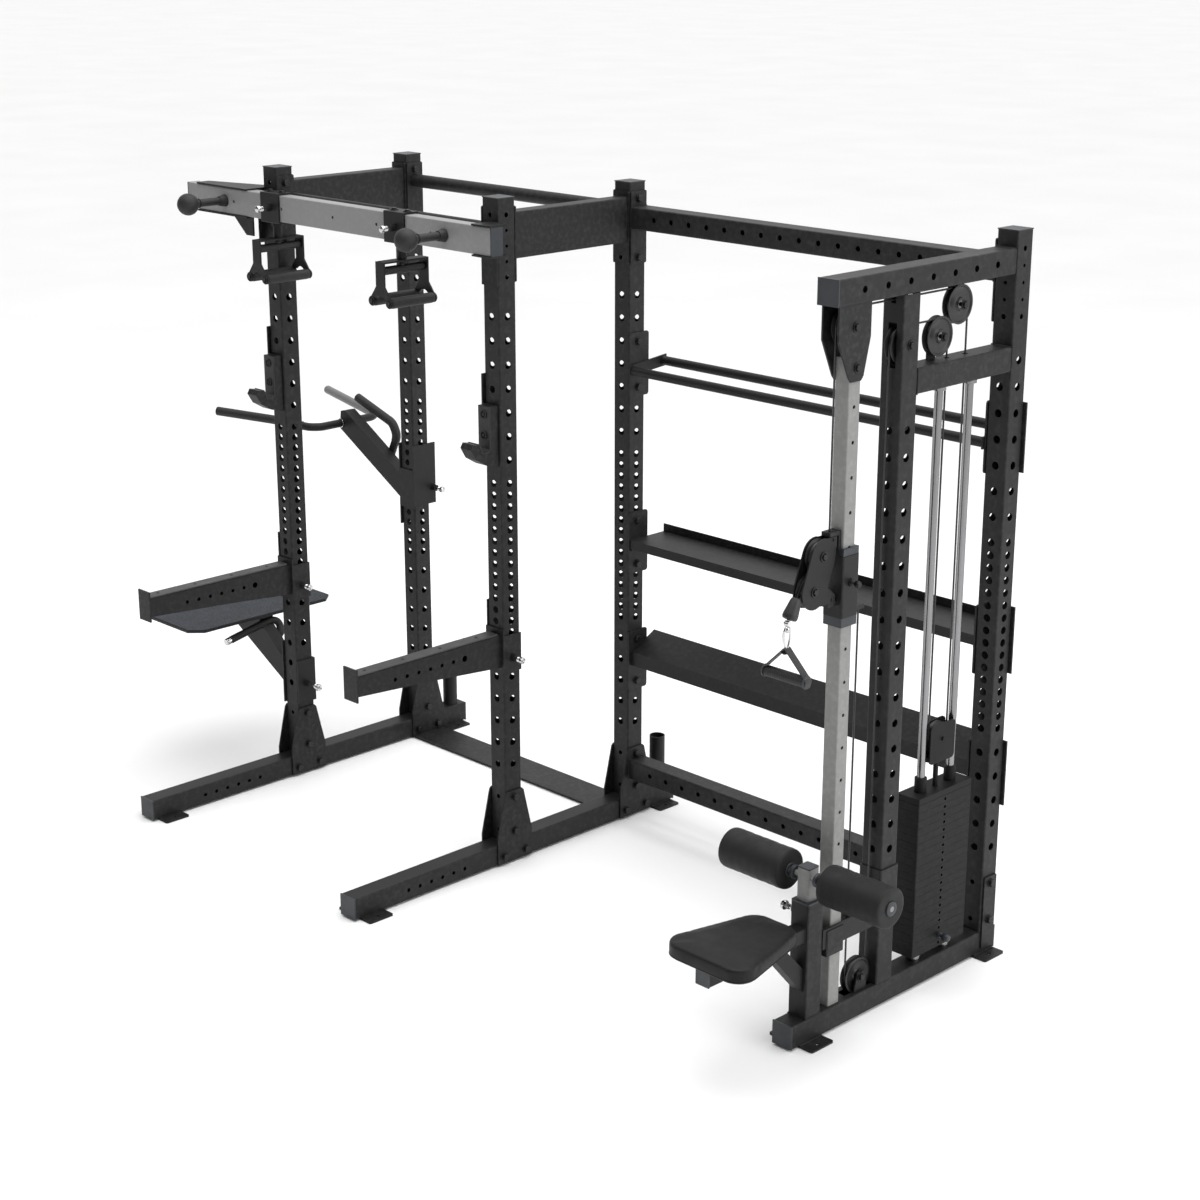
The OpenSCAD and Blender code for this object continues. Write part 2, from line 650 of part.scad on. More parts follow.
// Round-ended outline that wraps both swivel pulleys
function arc_points(c, r, a0, a1) = [for (k = [0:12]) [c[0] + r*cos(a0 + (a1 - a0)*k/12), c[1] + r*sin(a0 + (a1 - a0)*k/12)]];
module swivel_outline(top, low) {
    d = upper_swivel - lower_swivel;
    lean = atan2(d[1], d[0]);
    polygon(concat(arc_points(upper_swivel, 52, lean - 90, lean + 90), arc_points(lower_swivel, 52, lean + 90, lean + 270)));
    polygon([[swivel_y + 12, top], [swivel_y - 38, top], [swivel_y - 60, 1460], [swivel_y + 4, 1492], [swivel_y + 12, 1512]]);
    polygon([[swivel_y + 12, low], [swivel_y + 12, low + 22], [swivel_y - 25, 1400], [swivel_y - 60, 1380], [swivel_y - 50, low]]);
}
module swivel_housing() {
    run = upper_swivel - lower_swivel;
    inset = 0.01;
    turn = atan2(-run[1], -run[0]) + acos(2*swivel_groove/norm(run));
    p0 = [xe, upper_swivel[0] + swivel_groove*cos(turn), upper_swivel[1] + swivel_groove*sin(turn)];
    p1 = [xe, lower_swivel[0] - swivel_groove*cos(turn), lower_swivel[1] - swivel_groove*sin(turn)];
    top = hood_top - lug_t - slide_gap;
    low = swivel_low + lug_t + slide_gap;
    color("#2d3237") {
        for (s = [-1, 1]) yz_plate(xe + s*16 - 2, xe + s*16 + 2) swivel_outline(top, low);
        difference() {
            union() {
                box(xe - 14.5, xe + 14.5, swivel_y - 11, swivel_y + 12, top - 7, top);
                z_rod(top - 1, hood_top + 1, xe, swivel_y, 10);
            }
            z_rod(top - 10, hood_top + 2, xe, swivel_y, cable_d/2 + 1.5);
        }
        box(xe - 14.5, xe + 14.5, swivel_y - 12, swivel_y + 12, low, low + 8);
        z_rod(swivel_low + 1, low + 1, xe, swivel_y, 10);
        for (p = [upper_swivel, lower_swivel]) x_rod(xe - 21, xe + 21, p[0], p[1], axle_r);
    }
    color("#151515") {
        z_rod(upper_swivel[1] - 0.5, hood_top + 2, xe, swivel_y, cable_d/2 - 0.05);
        cable_arc(upper_swivel[0], upper_swivel[1], swivel_groove, turn, 0);
        bar_between(p0 - inset*(p1 - p0), p1 + inset*(p1 - p0), cable_d/2 - 0.05);
        cable_arc(lower_swivel[0], lower_swivel[1], swivel_groove, turn + 180, leave);
        translate([xe, leave_y, leave_z]) rotate([leave - 180, 0, 0]) {
            translate([0, 0, -40]) cylinder(r = cable_d/2 - 0.05, h = 40 + inset);
            translate([0, 0, -96]) cylinder(r1 = 20, r2 = 13, h = 60);
        }
    }
}
module strap_handle() {
    cable_end_y = eye_y;
    hook_z = 1286;
    hook_h = 40;
    grip_z = 1168;
    color("silver") {
        x_rod(xe - 8, xe + 8, cable_end_y, eye_z, 8);
        z_rod(hook_z + 28, eye_z, xe, cable_end_y, 6);
        for (s = [-1, 1]) cable_z(cable_end_y + s*12, hook_z - hook_h/2, hook_z + hook_h/2);
        cable_arc(cable_end_y, hook_z + hook_h/2, 12, 0, 180);
        cable_arc(cable_end_y, hook_z - hook_h/2, 12, 180, 360);
    }
    color("#1d1d1e") {
        x_rod(xe - 75, xe + 75, cable_end_y, grip_z, 16);
        for (s = [-1, 1]) {
            x_rod(xe + s*79 - 4, xe + s*79 + 4, cable_end_y, grip_z, 19);
            xz_plate(cable_end_y - 13, cable_end_y + 13)
                polygon([[xe - s*2, hook_z - 34], [xe + s*4, hook_z - 29], [xe + s*86, grip_z + 8],
                    [xe + s*86, grip_z - 6], [xe + s*82, grip_z - 6], [xe + s*82, grip_z + 6]]);
        }
    }
}

// Storage between the rear right post and the tower
module shelf_end(k) {
    z0 = shelf_holes[k][1] - 32;
    z1 = shelf_holes[k][0] + 32;
    for (x = [shelf_x[0], shelf_x[1] - plate_t])
        difference() {
            yz_plate(x, x + plate_t) translate([yr + 6, (z0 + z1)/2]) rounded(92, z1 - z0, 10);
            for (z = shelf_holes[k]) x_rod(x - 1, x + plate_t + 1, yr, z, 8.1);
        }
    // Ear round the back of the tower post
    box(shelf_x[1] - plate_t, xe + half + 10, yr + half + 0.3, yr + half + 6, z0 + 4, z1 - 4);
}
module bar_shelf() {
    x0 = shelf_x[0] + plate_t;
    x1 = shelf_x[1] - plate_t;
    color("#2b2b2c") {
        shelf_end(0);
        for (x = [x0, x1 - plate_t])
            yz_plate(x, x + plate_t) polygon([[yr - 46, 1650], [yr - 46, 1688], [yr + 136, 1706], [yr + 136, 1666]]);
        x_rod(x0, x1, yr - 28, 1668, 16);
        x_rod(x0, x1, yr + 120, 1685, 16);
    }
}
module flat_shelf() {
    x0 = shelf_x[0] + plate_t;
    x1 = shelf_x[1] - plate_t;
    color("#2b2b2c") {
        shelf_end(1);
        yz_plate(x0, x1)
            polygon([[yr - 36, 1028], [yr - 36, 1061], [yr + 134, 1061], [yr + 134, 1090],
                [yr + 137, 1090], [yr + 137, 1058], [yr - 33, 1058], [yr - 33, 1028]]);
        for (x = [x0, x1 - plate_t])
            yz_plate(x, x + plate_t) polygon([[yr - 33, 1020], [yr - 33, 1058], [yr + 134, 1058], [yr + 134, 1046]]);
    }
}
module tray_shelf() {
    x0 = shelf_x[0] + plate_t;
    x1 = shelf_x[1] - plate_t;
    color("#2b2b2c") {
        shelf_end(2);
        yz_plate(x0, x1)
            polygon([[yr + 90, 700], [yr + 90, 697], [yr - 22, 638], [yr - 22, 590], [yr - 25, 590], [yr - 25, 641]]);
        for (x = [x0, x1 - plate_t])
            yz_plate(x, x + plate_t) polygon([[yr + 90, 697], [yr + 90, 670], [yr + 30, 596], [yr - 22, 594], [yr - 22, 638]]);
    }
}

// Seat and foam rollers
module seat_frame() {
    color("#303031") {
        difference() {
            z_tube(xe, sleeve_y, base_top, sleeve_top, sleeve_w, sleeve_w, 3, 5);
            x_rod(xe - 40, xe, sleeve_y, 403, pin_r + 0.05);
        }
        difference() {
            x_rod(xe - 52, xe - sleeve_w/2 + 1, sleeve_y, 403, 12);
            x_rod(xe - 60, xe, sleeve_y, 403, pin_r + 0.05);
        }
        y_tube(sleeve_y - 442, sleeve_y - sleeve_w/2, xe, seat_top - 55 - 23, 50, 46, 3, 4);
        yz_plate(xe - 20, xe + 20)
            polygon([[sleeve_y - 34, 168], [sleeve_y - 34, 243], [sleeve_y - 114, seat_top - 101],
                [sleeve_y - 176, seat_top - 101]]);
        for (s = [-1, 1]) box(xe + s*33 - 3, xe + s*33 + 3, sleeve_y + sleeve_w/2 - 1, ym - half, 286, 348);
        // Clamp round the front of the guide post
        for (s = [-1, 1]) box(xe + s*35 - 4, xe + s*35 + 4, yg - 52, yg + 19, 258, 340);
        box(xe - 38, xe + 38, yg - 56, yg - 48, 259, 339);
        z_tube(xe, ym, 345, 460, 84, 84, 4.2, 6);
        box(xe - 60, xe + 60, sleeve_y - 370, sleeve_y - 210, seat_top - 55, seat_top - 50);
    }
}
module seat_pad() {
    color("#1c1c1d")
    translate([0, 0, seat_top - 50]) linear_extrude(50)
        hull() {
            for (s = [-1, 1]) {
                translate([xe + s*92, sleeve_y - 401]) circle(60, $fn = 40);
                translate([xe + s*40, sleeve_y - 181]) circle(58, $fn = 40);
            }
        }
}
module roller_post() {
    color("#b0b0b0")
    difference() {
        z_tube(xe, sleeve_y, 120, 552, 45, 45, 2.5, 4);
        for (k = [0:3]) x_rod(xe - 30, xe, sleeve_y, 403 - 30*k, pin_r + 0.5);
    }
    color("silver") x_rod(xe - 299, xe + 316, roller_y, foam_z, 9);
    color("#2d3237") translate([xe, sleeve_y, 552]) linear_extrude(4) rounded(45, 45, 4);
}
module foam_roller(side) {
    color("#1c1c1d")
    difference() {
        x_rod(side > 0 ? xe + 84 : xe - 295, side > 0 ? xe + 312 : xe - 62, roller_y, foam_z, foam_d/2);
        x_rod(xe - 330, xe + 330, roller_y, foam_z, 9.05);
    }
}
module left_foam_roller() { foam_roller(-1); }
module right_foam_roller() { foam_roller(1); }
module seat_knob() {
    color("silver") translate([xe - 22.7, sleeve_y, 403]) rotate([0, -90, 0]) pull_pin(38, 16, 15, 18);
}

// Handle trolleys on the front rail
pin_z = rail_z + rail_h/2;
hang_y = rail_y;
module trolley(x) {
    w = rail_t + 2*trolley_gap;
    h = rail_h + 2*trolley_gap;
    color("#262627") {
        difference() {
            x_tube(x - trolley_w/2, x + trolley_w/2, rail_y, pin_z, w + 12, h + 12, 6, 3);
            y_rod(rail_y - 50, rail_y, x, pin_z, pin_r + 0.05);
        }
        difference() {
            y_rod(rail_y - w/2 - 26, rail_y - w/2 - 5, x, pin_z, 12);
            y_rod(rail_y - 70, rail_y, x, pin_z, pin_r + 0.05);
        }
        z_rod(rail_z - 18, rail_z - 5, x, hang_y, 20);
        z_rod(2078, rail_z - 17, x, hang_y, 9);
        z_rod(2066, 2071.5, x, hang_y, 14);
        z_rod(2071, 2079, x, hang_y, 9);
    }
}
module left_trolley() { trolley(xa + trolley_left); }
module right_trolley() { trolley(xa + trolley_right); }
module trolley_pin(x) {
    color("silver") translate([x, rail_y - rail_t/2 - 0.4, pin_z]) rotate([90, 0, 0]) pull_pin(26, 22, 12, 16);
}
module left_trolley_pin() { trolley_pin(xa + trolley_left); }
module right_trolley_pin() { trolley_pin(xa + trolley_right); }
module pull_handle(x) {
    top = 2078;
    low = 1944;
    color("#262627") {
        difference() {
            union() {
                box(x - 22, x + 22, hang_y - 97, hang_y + 97, top - 6, top);
                z_rod(top, rail_z - 19, x, hang_y, 16);
            }
            z_rod(top - 7, rail_z, x, hang_y, 9.05);
        }
        for (s = [-1, 1])
            xz_plate(hang_y + s*94 - 3, hang_y + s*94 + 3)
                difference() {
                    union() {
                        polygon([[x - 22, top], [x + 22, top], [x + 22, 1995], [x + 52, low + 12],
                            [x - 52, low + 12], [x - 22, 1995]]);
                        for (t = [-1, 1]) translate([x + t*45, low]) circle(17);
                    }
                    translate([x, low - 4]) circle(26);
                }
        y_rod(hang_y - 91.5, hang_y + 91.5, x, 2046, 13);
        for (t = [-1, 1]) y_rod(hang_y - 91.5, hang_y + 91.5, x + t*45, low, 16);
    }
}
module left_pull_handle() { pull_handle(xa + trolley_left); }
module right_pull_handle() { pull_handle(xa + trolley_right); }

// Attachments that move up and down the posts
hook_gap = 0.6;
pw = half + hook_gap;
dip_pin_z = 1020;
module j_hook(x) {
    color("#262627") {
        // Plate on the post's outer face and the bridge to the block in front
        box(x - pw - plate_t, x - pw, yf - pw - 9, yf + 30, 1590, 1735);
        box(x - pw - 1, x + 20, yf - pw - 9, yf - pw, 1590, 1637);
        yz_plate(x - 27, x + 27)
            polygon([[yf - pw, 1637], [yf - 71, 1637], [yf - 71, 1492], [yf - 84, 1478], [yf - 112, 1484], [yf - 126, 1518],
                [yf - 148, 1522], [yf - 158, 1505], [yf - 136, 1469], [yf - 92, 1443], [yf - pw, 1430]]);
    }
}
module left_j_hook() { j_hook(xa); }
module right_j_hook() { j_hook(xc); }
module safety_arm(x) {
    y0 = yf - 662;
    color("#303031") {
        difference() {
            yz_plate(x - 30, x + 30)
                polygon([[y0, 776], [y0, 842], [yf - pw - 5, 842], [yf - pw - 5, 727], [yf - 320, 752]]);
            yz_plate(x - 27, x + 27)
                polygon([[y0 - 1, 779], [y0 - 1, 839], [yf - pw - 8, 839], [yf - pw - 8, 731], [yf - 320, 755]]);
            for (k = [0:5]) x_rod(x - 31, x + 31, yf - 505 + 50*k, 798, 7);
            x_rod(x - 31, x + 31, yf - 205, 798, 11);
        }
        box(x - 34, x + 34, y0 - 6, y0, 757, 869);
        box(x - pw - plate_t, x + pw + plate_t, yf - pw - plate_t, yf - pw, 707, 864);
        box(x + pw, x + pw + plate_t, yf - pw - 1, yf + half, 707, 840);
        box(x - pw - plate_t, x - pw, yf - pw - 1, yf + 44, 707, 955);
    }
}
module left_safety_arm() { safety_arm(xa); }
module right_safety_arm() { safety_arm(xc); }
module dip_station() {
    color("#303031") {
        // Side plates reach behind the post, where the pin closes them
        difference() {
            union() {
                box(xa + pw, xa + pw + plate_t, yr - pw - plate_t, yr + 66, 957, 1199);
                box(xa - pw - plate_t, xa - pw, yr - pw - plate_t, yr + 66, 875, 1199);
            }
            for (k = [1:3]) x_rod(xa + half, xa + 60, yr, fine_top - (k + 1)*fine_pitch, hole_d/2);
            x_rod(xa - 60, xa + 60, yr + 52, dip_pin_z, pin_r + 0.05);
        }
        box(xa - pw - 1, xa + pw + 1, yr - pw - plate_t, yr - pw, 947, 1100);
        difference() {
            x_rod(xa + pw + 5, xa + pw + 28, yr + 52, dip_pin_z, 12);
            x_rod(xa, xa + 90, yr + 52, dip_pin_z, pin_r + 0.05);
        }
        xz_plate(yr - 25, yr + 25)
            polygon([[xa - pw - plate_t + 1, 962], [xa - 437, 1192], [xa - 427, 1262], [xa - 400, 1268],
                [xa - pw - plate_t + 1, 1056]]);
    }
    color("#8d8d8d")
    bent_bar([[xa - 424, yr + 24, 1213], [xa - 424, yr + 130, 1213], [xa - 450, yr + 168, 1214],
        [xa - 889, yr + 266, 1235]], 16, 50);
    color("#262627") {
        bent_bar([[xa - 424, yr - 24, 1213], [xa - 422, yr - 130, 1213], [xa - 450, yr - 168, 1214],
            [xa - 620, yr - 207, 1222], [xa - 870, yr - 310, 1235]], 16, 50);
        bent_bar([[xa - 197, yr + 36, 1100], [xa - 153, yr + 40, 1196], [xa - 182, yr + 41, 1242],
            [xa - 398, yr + 41, 1311]], 16, 50);
    }
}
module dip_pin() {
    color("silver") translate([xa - 50, yr + 52, dip_pin_z]) rotate([0, 90, 0]) pull_pin(104, 36, 12, 18);
}
module step_platform() {
    x0 = xa - 500;
    x1 = xa - 175;
    y0 = yf - 348;
    y1 = yf + 322;
    color("#2c3440")
    translate([0, 0, 584]) linear_extrude(8)
        polygon([[x0 + 35, y0], [x1 - 45, y0], [x1, y0 + 48], [x1, y1 - 48], [x1 - 45, y1],
            [x0 + 35, y1], [x0, y1 - 38], [x0, y0 + 38]]);
    color("#303031") {
        xz_plate(yf - 25, yf + 25)
            polygon([[xa - 430, 584], [xa - 230, 584], [xa - pw - 5, 429], [xa - pw - 5, 342], [xa - 430, 560]]);
        box(x0 + 40, x1 - 20, yf - 30, yf + 30, 572, 584);
        box(xa - pw - plate_t, xa - pw, yf - pw - plate_t, yf + pw + plate_t, 280, 526);
        difference() {
            box(xa + pw, xa + pw + plate_t, yf - pw, yf + pw + plate_t, 290, 460);
            x_rod(xa, xa + 90, yf, 367, pin_r + 0.05);
        }
        box(xa - pw - 1, xa + pw + 1, yf + pw, yf + pw + 6, 290, 460);
        difference() {
            x_rod(xa + pw + 5, xa + pw + 36, yf, 367, 12);
            x_rod(xa, xa + 90, yf, 367, pin_r + 0.05);
        }
        bent_bar([[xa - 150, yf + 12, 482], [xa - 163, yf + 40, 512], [xa - 178, yf + 50, 536], [xa - 190, yf + 44, 552],
            [xa - 196, yf + 18, 560], [xa - 198, yf - 190, 516]], 13, 25);
    }
}
module platform_pin() {
    color("silver") translate([xa + half + 1, yf, 367]) rotate([0, 90, 0]) pull_pin(36, 34, 14, 20);
}

// Plastic caps and fasteners
module end_caps() {
    cap_t = 5;
    color("#2d3237") {
        for (x = [xa, xc]) {
            box(x - half, x + half, yf - base_front - cap_t, yf - base_front, foot_t, base_top);
            box(x - half, x + half, yr + base_rear, yr + base_rear + cap_t, foot_t, base_top);
            for (y = [yf, yr]) box(x - half, x + half, y - half, y + half, post_top - 3, post_top);
        }
        box(xe - half, xe + half, yr - half, yr + half, post_top - 3, post_top);
        box(xe - half, xe + half, yf - 342 - cap_t, yf - 342, foot_t, base_top);
        box(xe - half, xe + half, yr + 41, yr + 41 + cap_t, foot_t, base_top);
        box(xe - half, xe + half, tower_top_front, tower_top_front + 4, tower_top_z, tower_top_z + tube_w);
        box(xe - 25, xe + 25, sleeve_y - 442 - cap_t, sleeve_y - 442, seat_top - 101, seat_top - 55);
        for (x = [rail_x0 - cap_t, rail_x1 - 6])
            box(x, x + cap_t, rail_y - rail_t/2, rail_y + rail_t/2, rail_z, rail_z + rail_h);
        difference() {
            translate([xe, sleeve_y, sleeve_top]) linear_extrude(5) tube_section(sleeve_w, sleeve_w, (sleeve_w - 46.2)/2, 5);
        }
    }
}
module frame_bolts() {
    g = half + plate_t;
    color("#3a3a3b") {
        for (p = cage_posts) for (s = [-1, 1]) {
            for (z = foot_bolts) hex_bolt_x(p[0] + s*g, p[1], z, s);
            for (t = [-50, 50]) hex_bolt_x(p[0] + s*g, p[1] + t, 34, s);
        }
        for (z = top_bolts) {
            hex_bolt_x(xc + g, yr, z, 1);
            for (p = [[xa + g, yf], [xa + g, yr]]) hex_bolt_x(p[0], p[1], z, 1);
            for (p = [[xc - g, yf], [xc - g, yr]]) hex_bolt_x(p[0], p[1], z, -1);
            hex_bolt_x(xe - g, yr, z, -1);
        }
        for (s = [-1, 1]) for (z = foot_bolts) hex_bolt_x(xe + s*g, yr, z, s);
        for (k = [0:2]) for (z = shelf_holes[k]) {
            hex_bolt_x(shelf_x[0] + plate_t, yr, z, 1);
            hex_bolt_x(shelf_x[1] - plate_t, yr, z, -1);
        }
        for (p = [[top_pulley_y, crown_z, 40], [crown_y, crown_z, 27], [transfer_y, transfer_z, 27],
            [floor_pulley_y, floor_pulley_z, 28], [ym, transfer_z, 44]])
            x_rod(xe - p[2], xe + p[2], p[0], p[1], axle_r);
        x_rod(xe - 40, xe + 40, yg, 2010, 8);
    }
}

cage_bases();
tower_base();
front_posts();
rear_posts();
tower_rear_post();
tower_front_post();
joint_plates();
side_beams();
pull_up_bars();
front_rail();
rail_brackets();
ball_grips();
tower_beams();
pulley_brackets();
guide_post();
guide_rods();
weight_stack();
stack_carrier();
selector_pin();
stack_pulley();
top_pulley();
post_pulley();
crown_pulley();
transfer_pulley();
floor_pulley();
upper_swivel_pulley();
lower_swivel_pulley();
tower_cables();
stack_cable();
upper_carriage_cable();
lower_carriage_cable();
pulley_carriage();
carriage_pin();
swivel_housing();
strap_handle();
bar_shelf();
flat_shelf();
tray_shelf();
seat_frame();
seat_pad();
roller_post();
left_foam_roller();
right_foam_roller();
seat_knob();
left_trolley();
right_trolley();
left_trolley_pin();
right_trolley_pin();
left_pull_handle();
right_pull_handle();
left_j_hook();
right_j_hook();
left_safety_arm();
right_safety_arm();
dip_station();
dip_pin();
step_platform();
platform_pin();
end_caps();
frame_bolts();
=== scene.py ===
"""Looks of a power cage with a cable tower, built round the CAD frame. Units are metres, Z is up."""
import math

import bmesh
import bpy
from mathutils import Matrix, Vector


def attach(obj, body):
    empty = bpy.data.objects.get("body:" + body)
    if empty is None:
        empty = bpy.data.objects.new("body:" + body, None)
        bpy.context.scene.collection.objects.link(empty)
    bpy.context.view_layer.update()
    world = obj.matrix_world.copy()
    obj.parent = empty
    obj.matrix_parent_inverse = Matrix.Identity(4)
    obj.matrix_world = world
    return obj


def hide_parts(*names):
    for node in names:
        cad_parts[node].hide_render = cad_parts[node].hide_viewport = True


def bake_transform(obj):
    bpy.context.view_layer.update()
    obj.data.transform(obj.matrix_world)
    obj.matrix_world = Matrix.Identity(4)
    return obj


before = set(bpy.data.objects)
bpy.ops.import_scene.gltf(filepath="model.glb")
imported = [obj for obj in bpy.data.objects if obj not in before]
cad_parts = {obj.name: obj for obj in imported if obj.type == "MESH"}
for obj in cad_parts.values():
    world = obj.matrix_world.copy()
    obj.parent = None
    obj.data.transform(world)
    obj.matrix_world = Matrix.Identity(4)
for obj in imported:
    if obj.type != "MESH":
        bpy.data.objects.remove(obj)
for leftover in ("Cube", "Light", "Camera"):
    if leftover in bpy.data.objects:
        bpy.data.objects.remove(bpy.data.objects[leftover])
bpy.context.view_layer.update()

# Centres of the posts: middle, left and tower posts in X, front and rear posts in Y
XC = 0.08528
YF = -0.08481
XA = XC - 1.18
XE = XC + 1.586
YR = YF + 0.6
# Tower's inner post, the cable carriage's guide post, and half a post's width
YM = YR - 0.52
YG = YF - 0.145
HALF = 0.0375
PLATE = 0.006
# Seat sleeve, foam rollers, silver front rail, and the swivel's hinge line
SLEEVE_Y = YF - 0.249
ROLLER_Y = SLEEVE_Y - 0.008
RAIL_Y = YF - 0.087
RAIL_MID = 2.185
SWIVEL_Y = YG - 0.058
# Where the cable leaves the lower swivel pulley, and the eye at its end
LEAVE_Y = SWIVEL_Y - 0.077 - 0.042 * math.cos(math.radians(30))
LEAVE_Z = 1.396 + 0.021
EYE_Y = LEAVE_Y - 0.11 * 0.5
EYE_Z = LEAVE_Z - 0.11 * math.cos(math.radians(30))
# Weight stack, seat pad's top, foam rollers' axle, and the two trolleys on the rail
STACK_Y = YF + 0.34
SEAT_TOP = 0.430
FOAM_Z = 0.526
TROLLEYS = {"left": XA + 0.105, "right": XA + 0.792}
POSTS = [(XA, YF), (XA, YR), (XC, YF), (XC, YR)]


# Materials
def graph(name):
    m = bpy.data.materials.new(name)
    m.use_nodes = True
    t = m.node_tree
    b = t.nodes["Principled BSDF"]
    c = t.nodes.new("ShaderNodeTexCoord")
    return m, t, b, c.outputs["Object"]


def noise(t, coord, scale, detail=4.0, rough=0.5):
    n = t.nodes.new("ShaderNodeTexNoise")
    n.inputs["Scale"].default_value = scale
    n.inputs["Detail"].default_value = detail
    n.inputs["Roughness"].default_value = rough
    t.links.new(coord, n.inputs["Vector"])
    return n.outputs["Fac"]


def cells(t, coord, scale, feature="F1"):
    n = t.nodes.new("ShaderNodeTexVoronoi")
    n.feature = feature
    n.inputs["Scale"].default_value = scale
    t.links.new(coord, n.inputs["Vector"])
    return n.outputs["Distance"]


def stretch(t, coord, factors):
    n = t.nodes.new("ShaderNodeMapping")
    n.inputs["Scale"].default_value = factors
    t.links.new(coord, n.inputs["Vector"])
    return n.outputs["Vector"]


def span(t, value, a, b, c, d):
    n = t.nodes.new("ShaderNodeMapRange")
    for i, v in enumerate((a, b, c, d)):
        n.inputs[i + 1].default_value = v
    t.links.new(value, n.inputs[0])
    return n.outputs[0]


def ramp(t, value, stops):
    n = t.nodes.new("ShaderNodeValToRGB")
    e = n.color_ramp.elements
    while len(e) < len(stops):
        e.new(0.5)
    for i, (p, c) in enumerate(stops):
        e[i].position = p
        e[i].color = (*c, 1)
    t.links.new(value, n.inputs["Fac"])
    return n.outputs["Color"]


def bump(t, b, heights):
    last = None
    for value, strength, distance in heights:
        n = t.nodes.new("ShaderNodeBump")
        n.inputs["Strength"].default_value = strength
        n.inputs["Distance"].default_value = distance
        t.links.new(value, n.inputs["Height"])
        if last is not None:
            t.links.new(last, n.inputs["Normal"])
        last = n.outputs["Normal"]
    t.links.new(last, b.inputs["Normal"])


def shade(c, k):
    return tuple(v * k for v in c)


def edge_wear(t, coord, base, worn, amount):
    """Worn paint on sharp edges, broken up by noise."""
    g = t.nodes.new("ShaderNodeNewGeometry")
    p = span(t, g.outputs["Pointiness"], 0.53, 0.62, 0.0, 1.0)
    n = span(t, noise(t, coord, 60.0, 6.0), 0.45, 0.7, 0.0, amount)
    x = t.nodes.new("ShaderNodeMath")
    x.operation = "MULTIPLY"
    t.links.new(p, x.inputs[0])
    t.links.new(n, x.inputs[1])
    mix = t.nodes.new("ShaderNodeMix")
    mix.data_type = "RGBA"
    t.links.new(x.outputs[0], mix.inputs["Factor"])
    t.links.new(base, mix.inputs["A"])
    mix.inputs["B"].default_value = (*worn, 1)
    return mix.outputs["Result"]


def painted(name, color, rough=0.45, grain=900.0, strength=0.1, worn=(0.05, 0.05, 0.05), shine=0.3):
    """Powder coat: fine orange peel, slight clouding and dust, and edges a little lighter."""
    m, t, b, o = graph(name)
    c = ramp(t, noise(t, o, 2.0, 5.0, 0.5), [(0.3, shade(color, 0.95)), (0.7, shade(color, 1.06))])
    t.links.new(edge_wear(t, o, c, worn, 0.35), b.inputs["Base Color"])
    t.links.new(span(t, noise(t, o, 6.0, 4.0), 0.3, 0.7, rough - 0.02, rough + 0.03), b.inputs["Roughness"])
    fine = noise(t, o, grain, 2.0)
    coarse = noise(t, o, grain * 0.3, 2.0)
    bump(t, b, [(fine, strength, 0.0004), (coarse, strength * 0.5, 0.0006)])
    b.inputs["Specular IOR Level"].default_value = shine
    return m


def metal(name, color, rough, brush=(1.0, 1.0, 1.0), lines=260.0, strength=0.05):
    """Plated or polished steel with faint brush lines and handling marks."""
    m, t, b, o = graph(name)
    v = stretch(t, o, brush)
    c = ramp(t, noise(t, v, lines * 0.4, 5.0), [(0.3, shade(color, 0.86)), (0.7, shade(color, 1.05))])
    t.links.new(c, b.inputs["Base Color"])
    b.inputs["Metallic"].default_value = 1.0
    t.links.new(span(t, noise(t, o, 22.0, 6.0), 0.3, 0.7, rough - 0.05, rough + 0.1), b.inputs["Roughness"])
    bump(t, b, [(noise(t, v, lines, 3.0), strength, 0.0002)])
    return m


def plastic(name, color, rough=0.42, grain=1300.0, strength=0.12):
    """Moulded plastic with a fine spark-eroded grain."""
    m, t, b, o = graph(name)
    c = ramp(t, noise(t, o, 30.0, 4.0), [(0.35, shade(color, 0.9)), (0.65, shade(color, 1.12))])
    t.links.new(c, b.inputs["Base Color"])
    t.links.new(span(t, noise(t, o, 18.0, 4.0), 0.3, 0.7, rough - 0.05, rough + 0.08), b.inputs["Roughness"])
    bump(t, b, [(cells(t, o, grain), strength, 0.0002), (noise(t, o, 240.0), strength * 0.4, 0.0003)])
    return m


def leather(name, color):
    """Synthetic leather: pebbled grain with fine creases."""
    m, t, b, o = graph(name)
    c = ramp(t, cells(t, o, 620.0), [(0.05, shade(color, 1.25)), (0.6, shade(color, 0.85))])
    t.links.new(c, b.inputs["Base Color"])
    t.links.new(span(t, noise(t, o, 25.0, 5.0), 0.3, 0.7, 0.44, 0.56), b.inputs["Roughness"])
    b.inputs["Specular IOR Level"].default_value = 0.22
    bump(t, b, [(cells(t, o, 620.0), 0.3, 0.0004), (cells(t, o, 45.0, "DISTANCE_TO_EDGE"), 0.1, 0.0006),
                (noise(t, o, 16.0, 6.0), 0.18, 0.002)])
    return m


def foam(name, color):
    """Skinned closed-cell foam with pinholes."""
    m, t, b, o = graph(name)
    c = ramp(t, noise(t, o, 420.0, 3.0), [(0.35, shade(color, 0.8)), (0.7, shade(color, 1.25))])
    t.links.new(c, b.inputs["Base Color"])
    t.links.new(span(t, noise(t, o, 30.0, 4.0), 0.3, 0.7, 0.5, 0.66), b.inputs["Roughness"])
    b.inputs["Specular IOR Level"].default_value = 0.25
    bump(t, b, [(cells(t, o, 800.0), 0.35, 0.0004), (noise(t, o, 60.0, 4.0), 0.15, 0.001)])
    return m


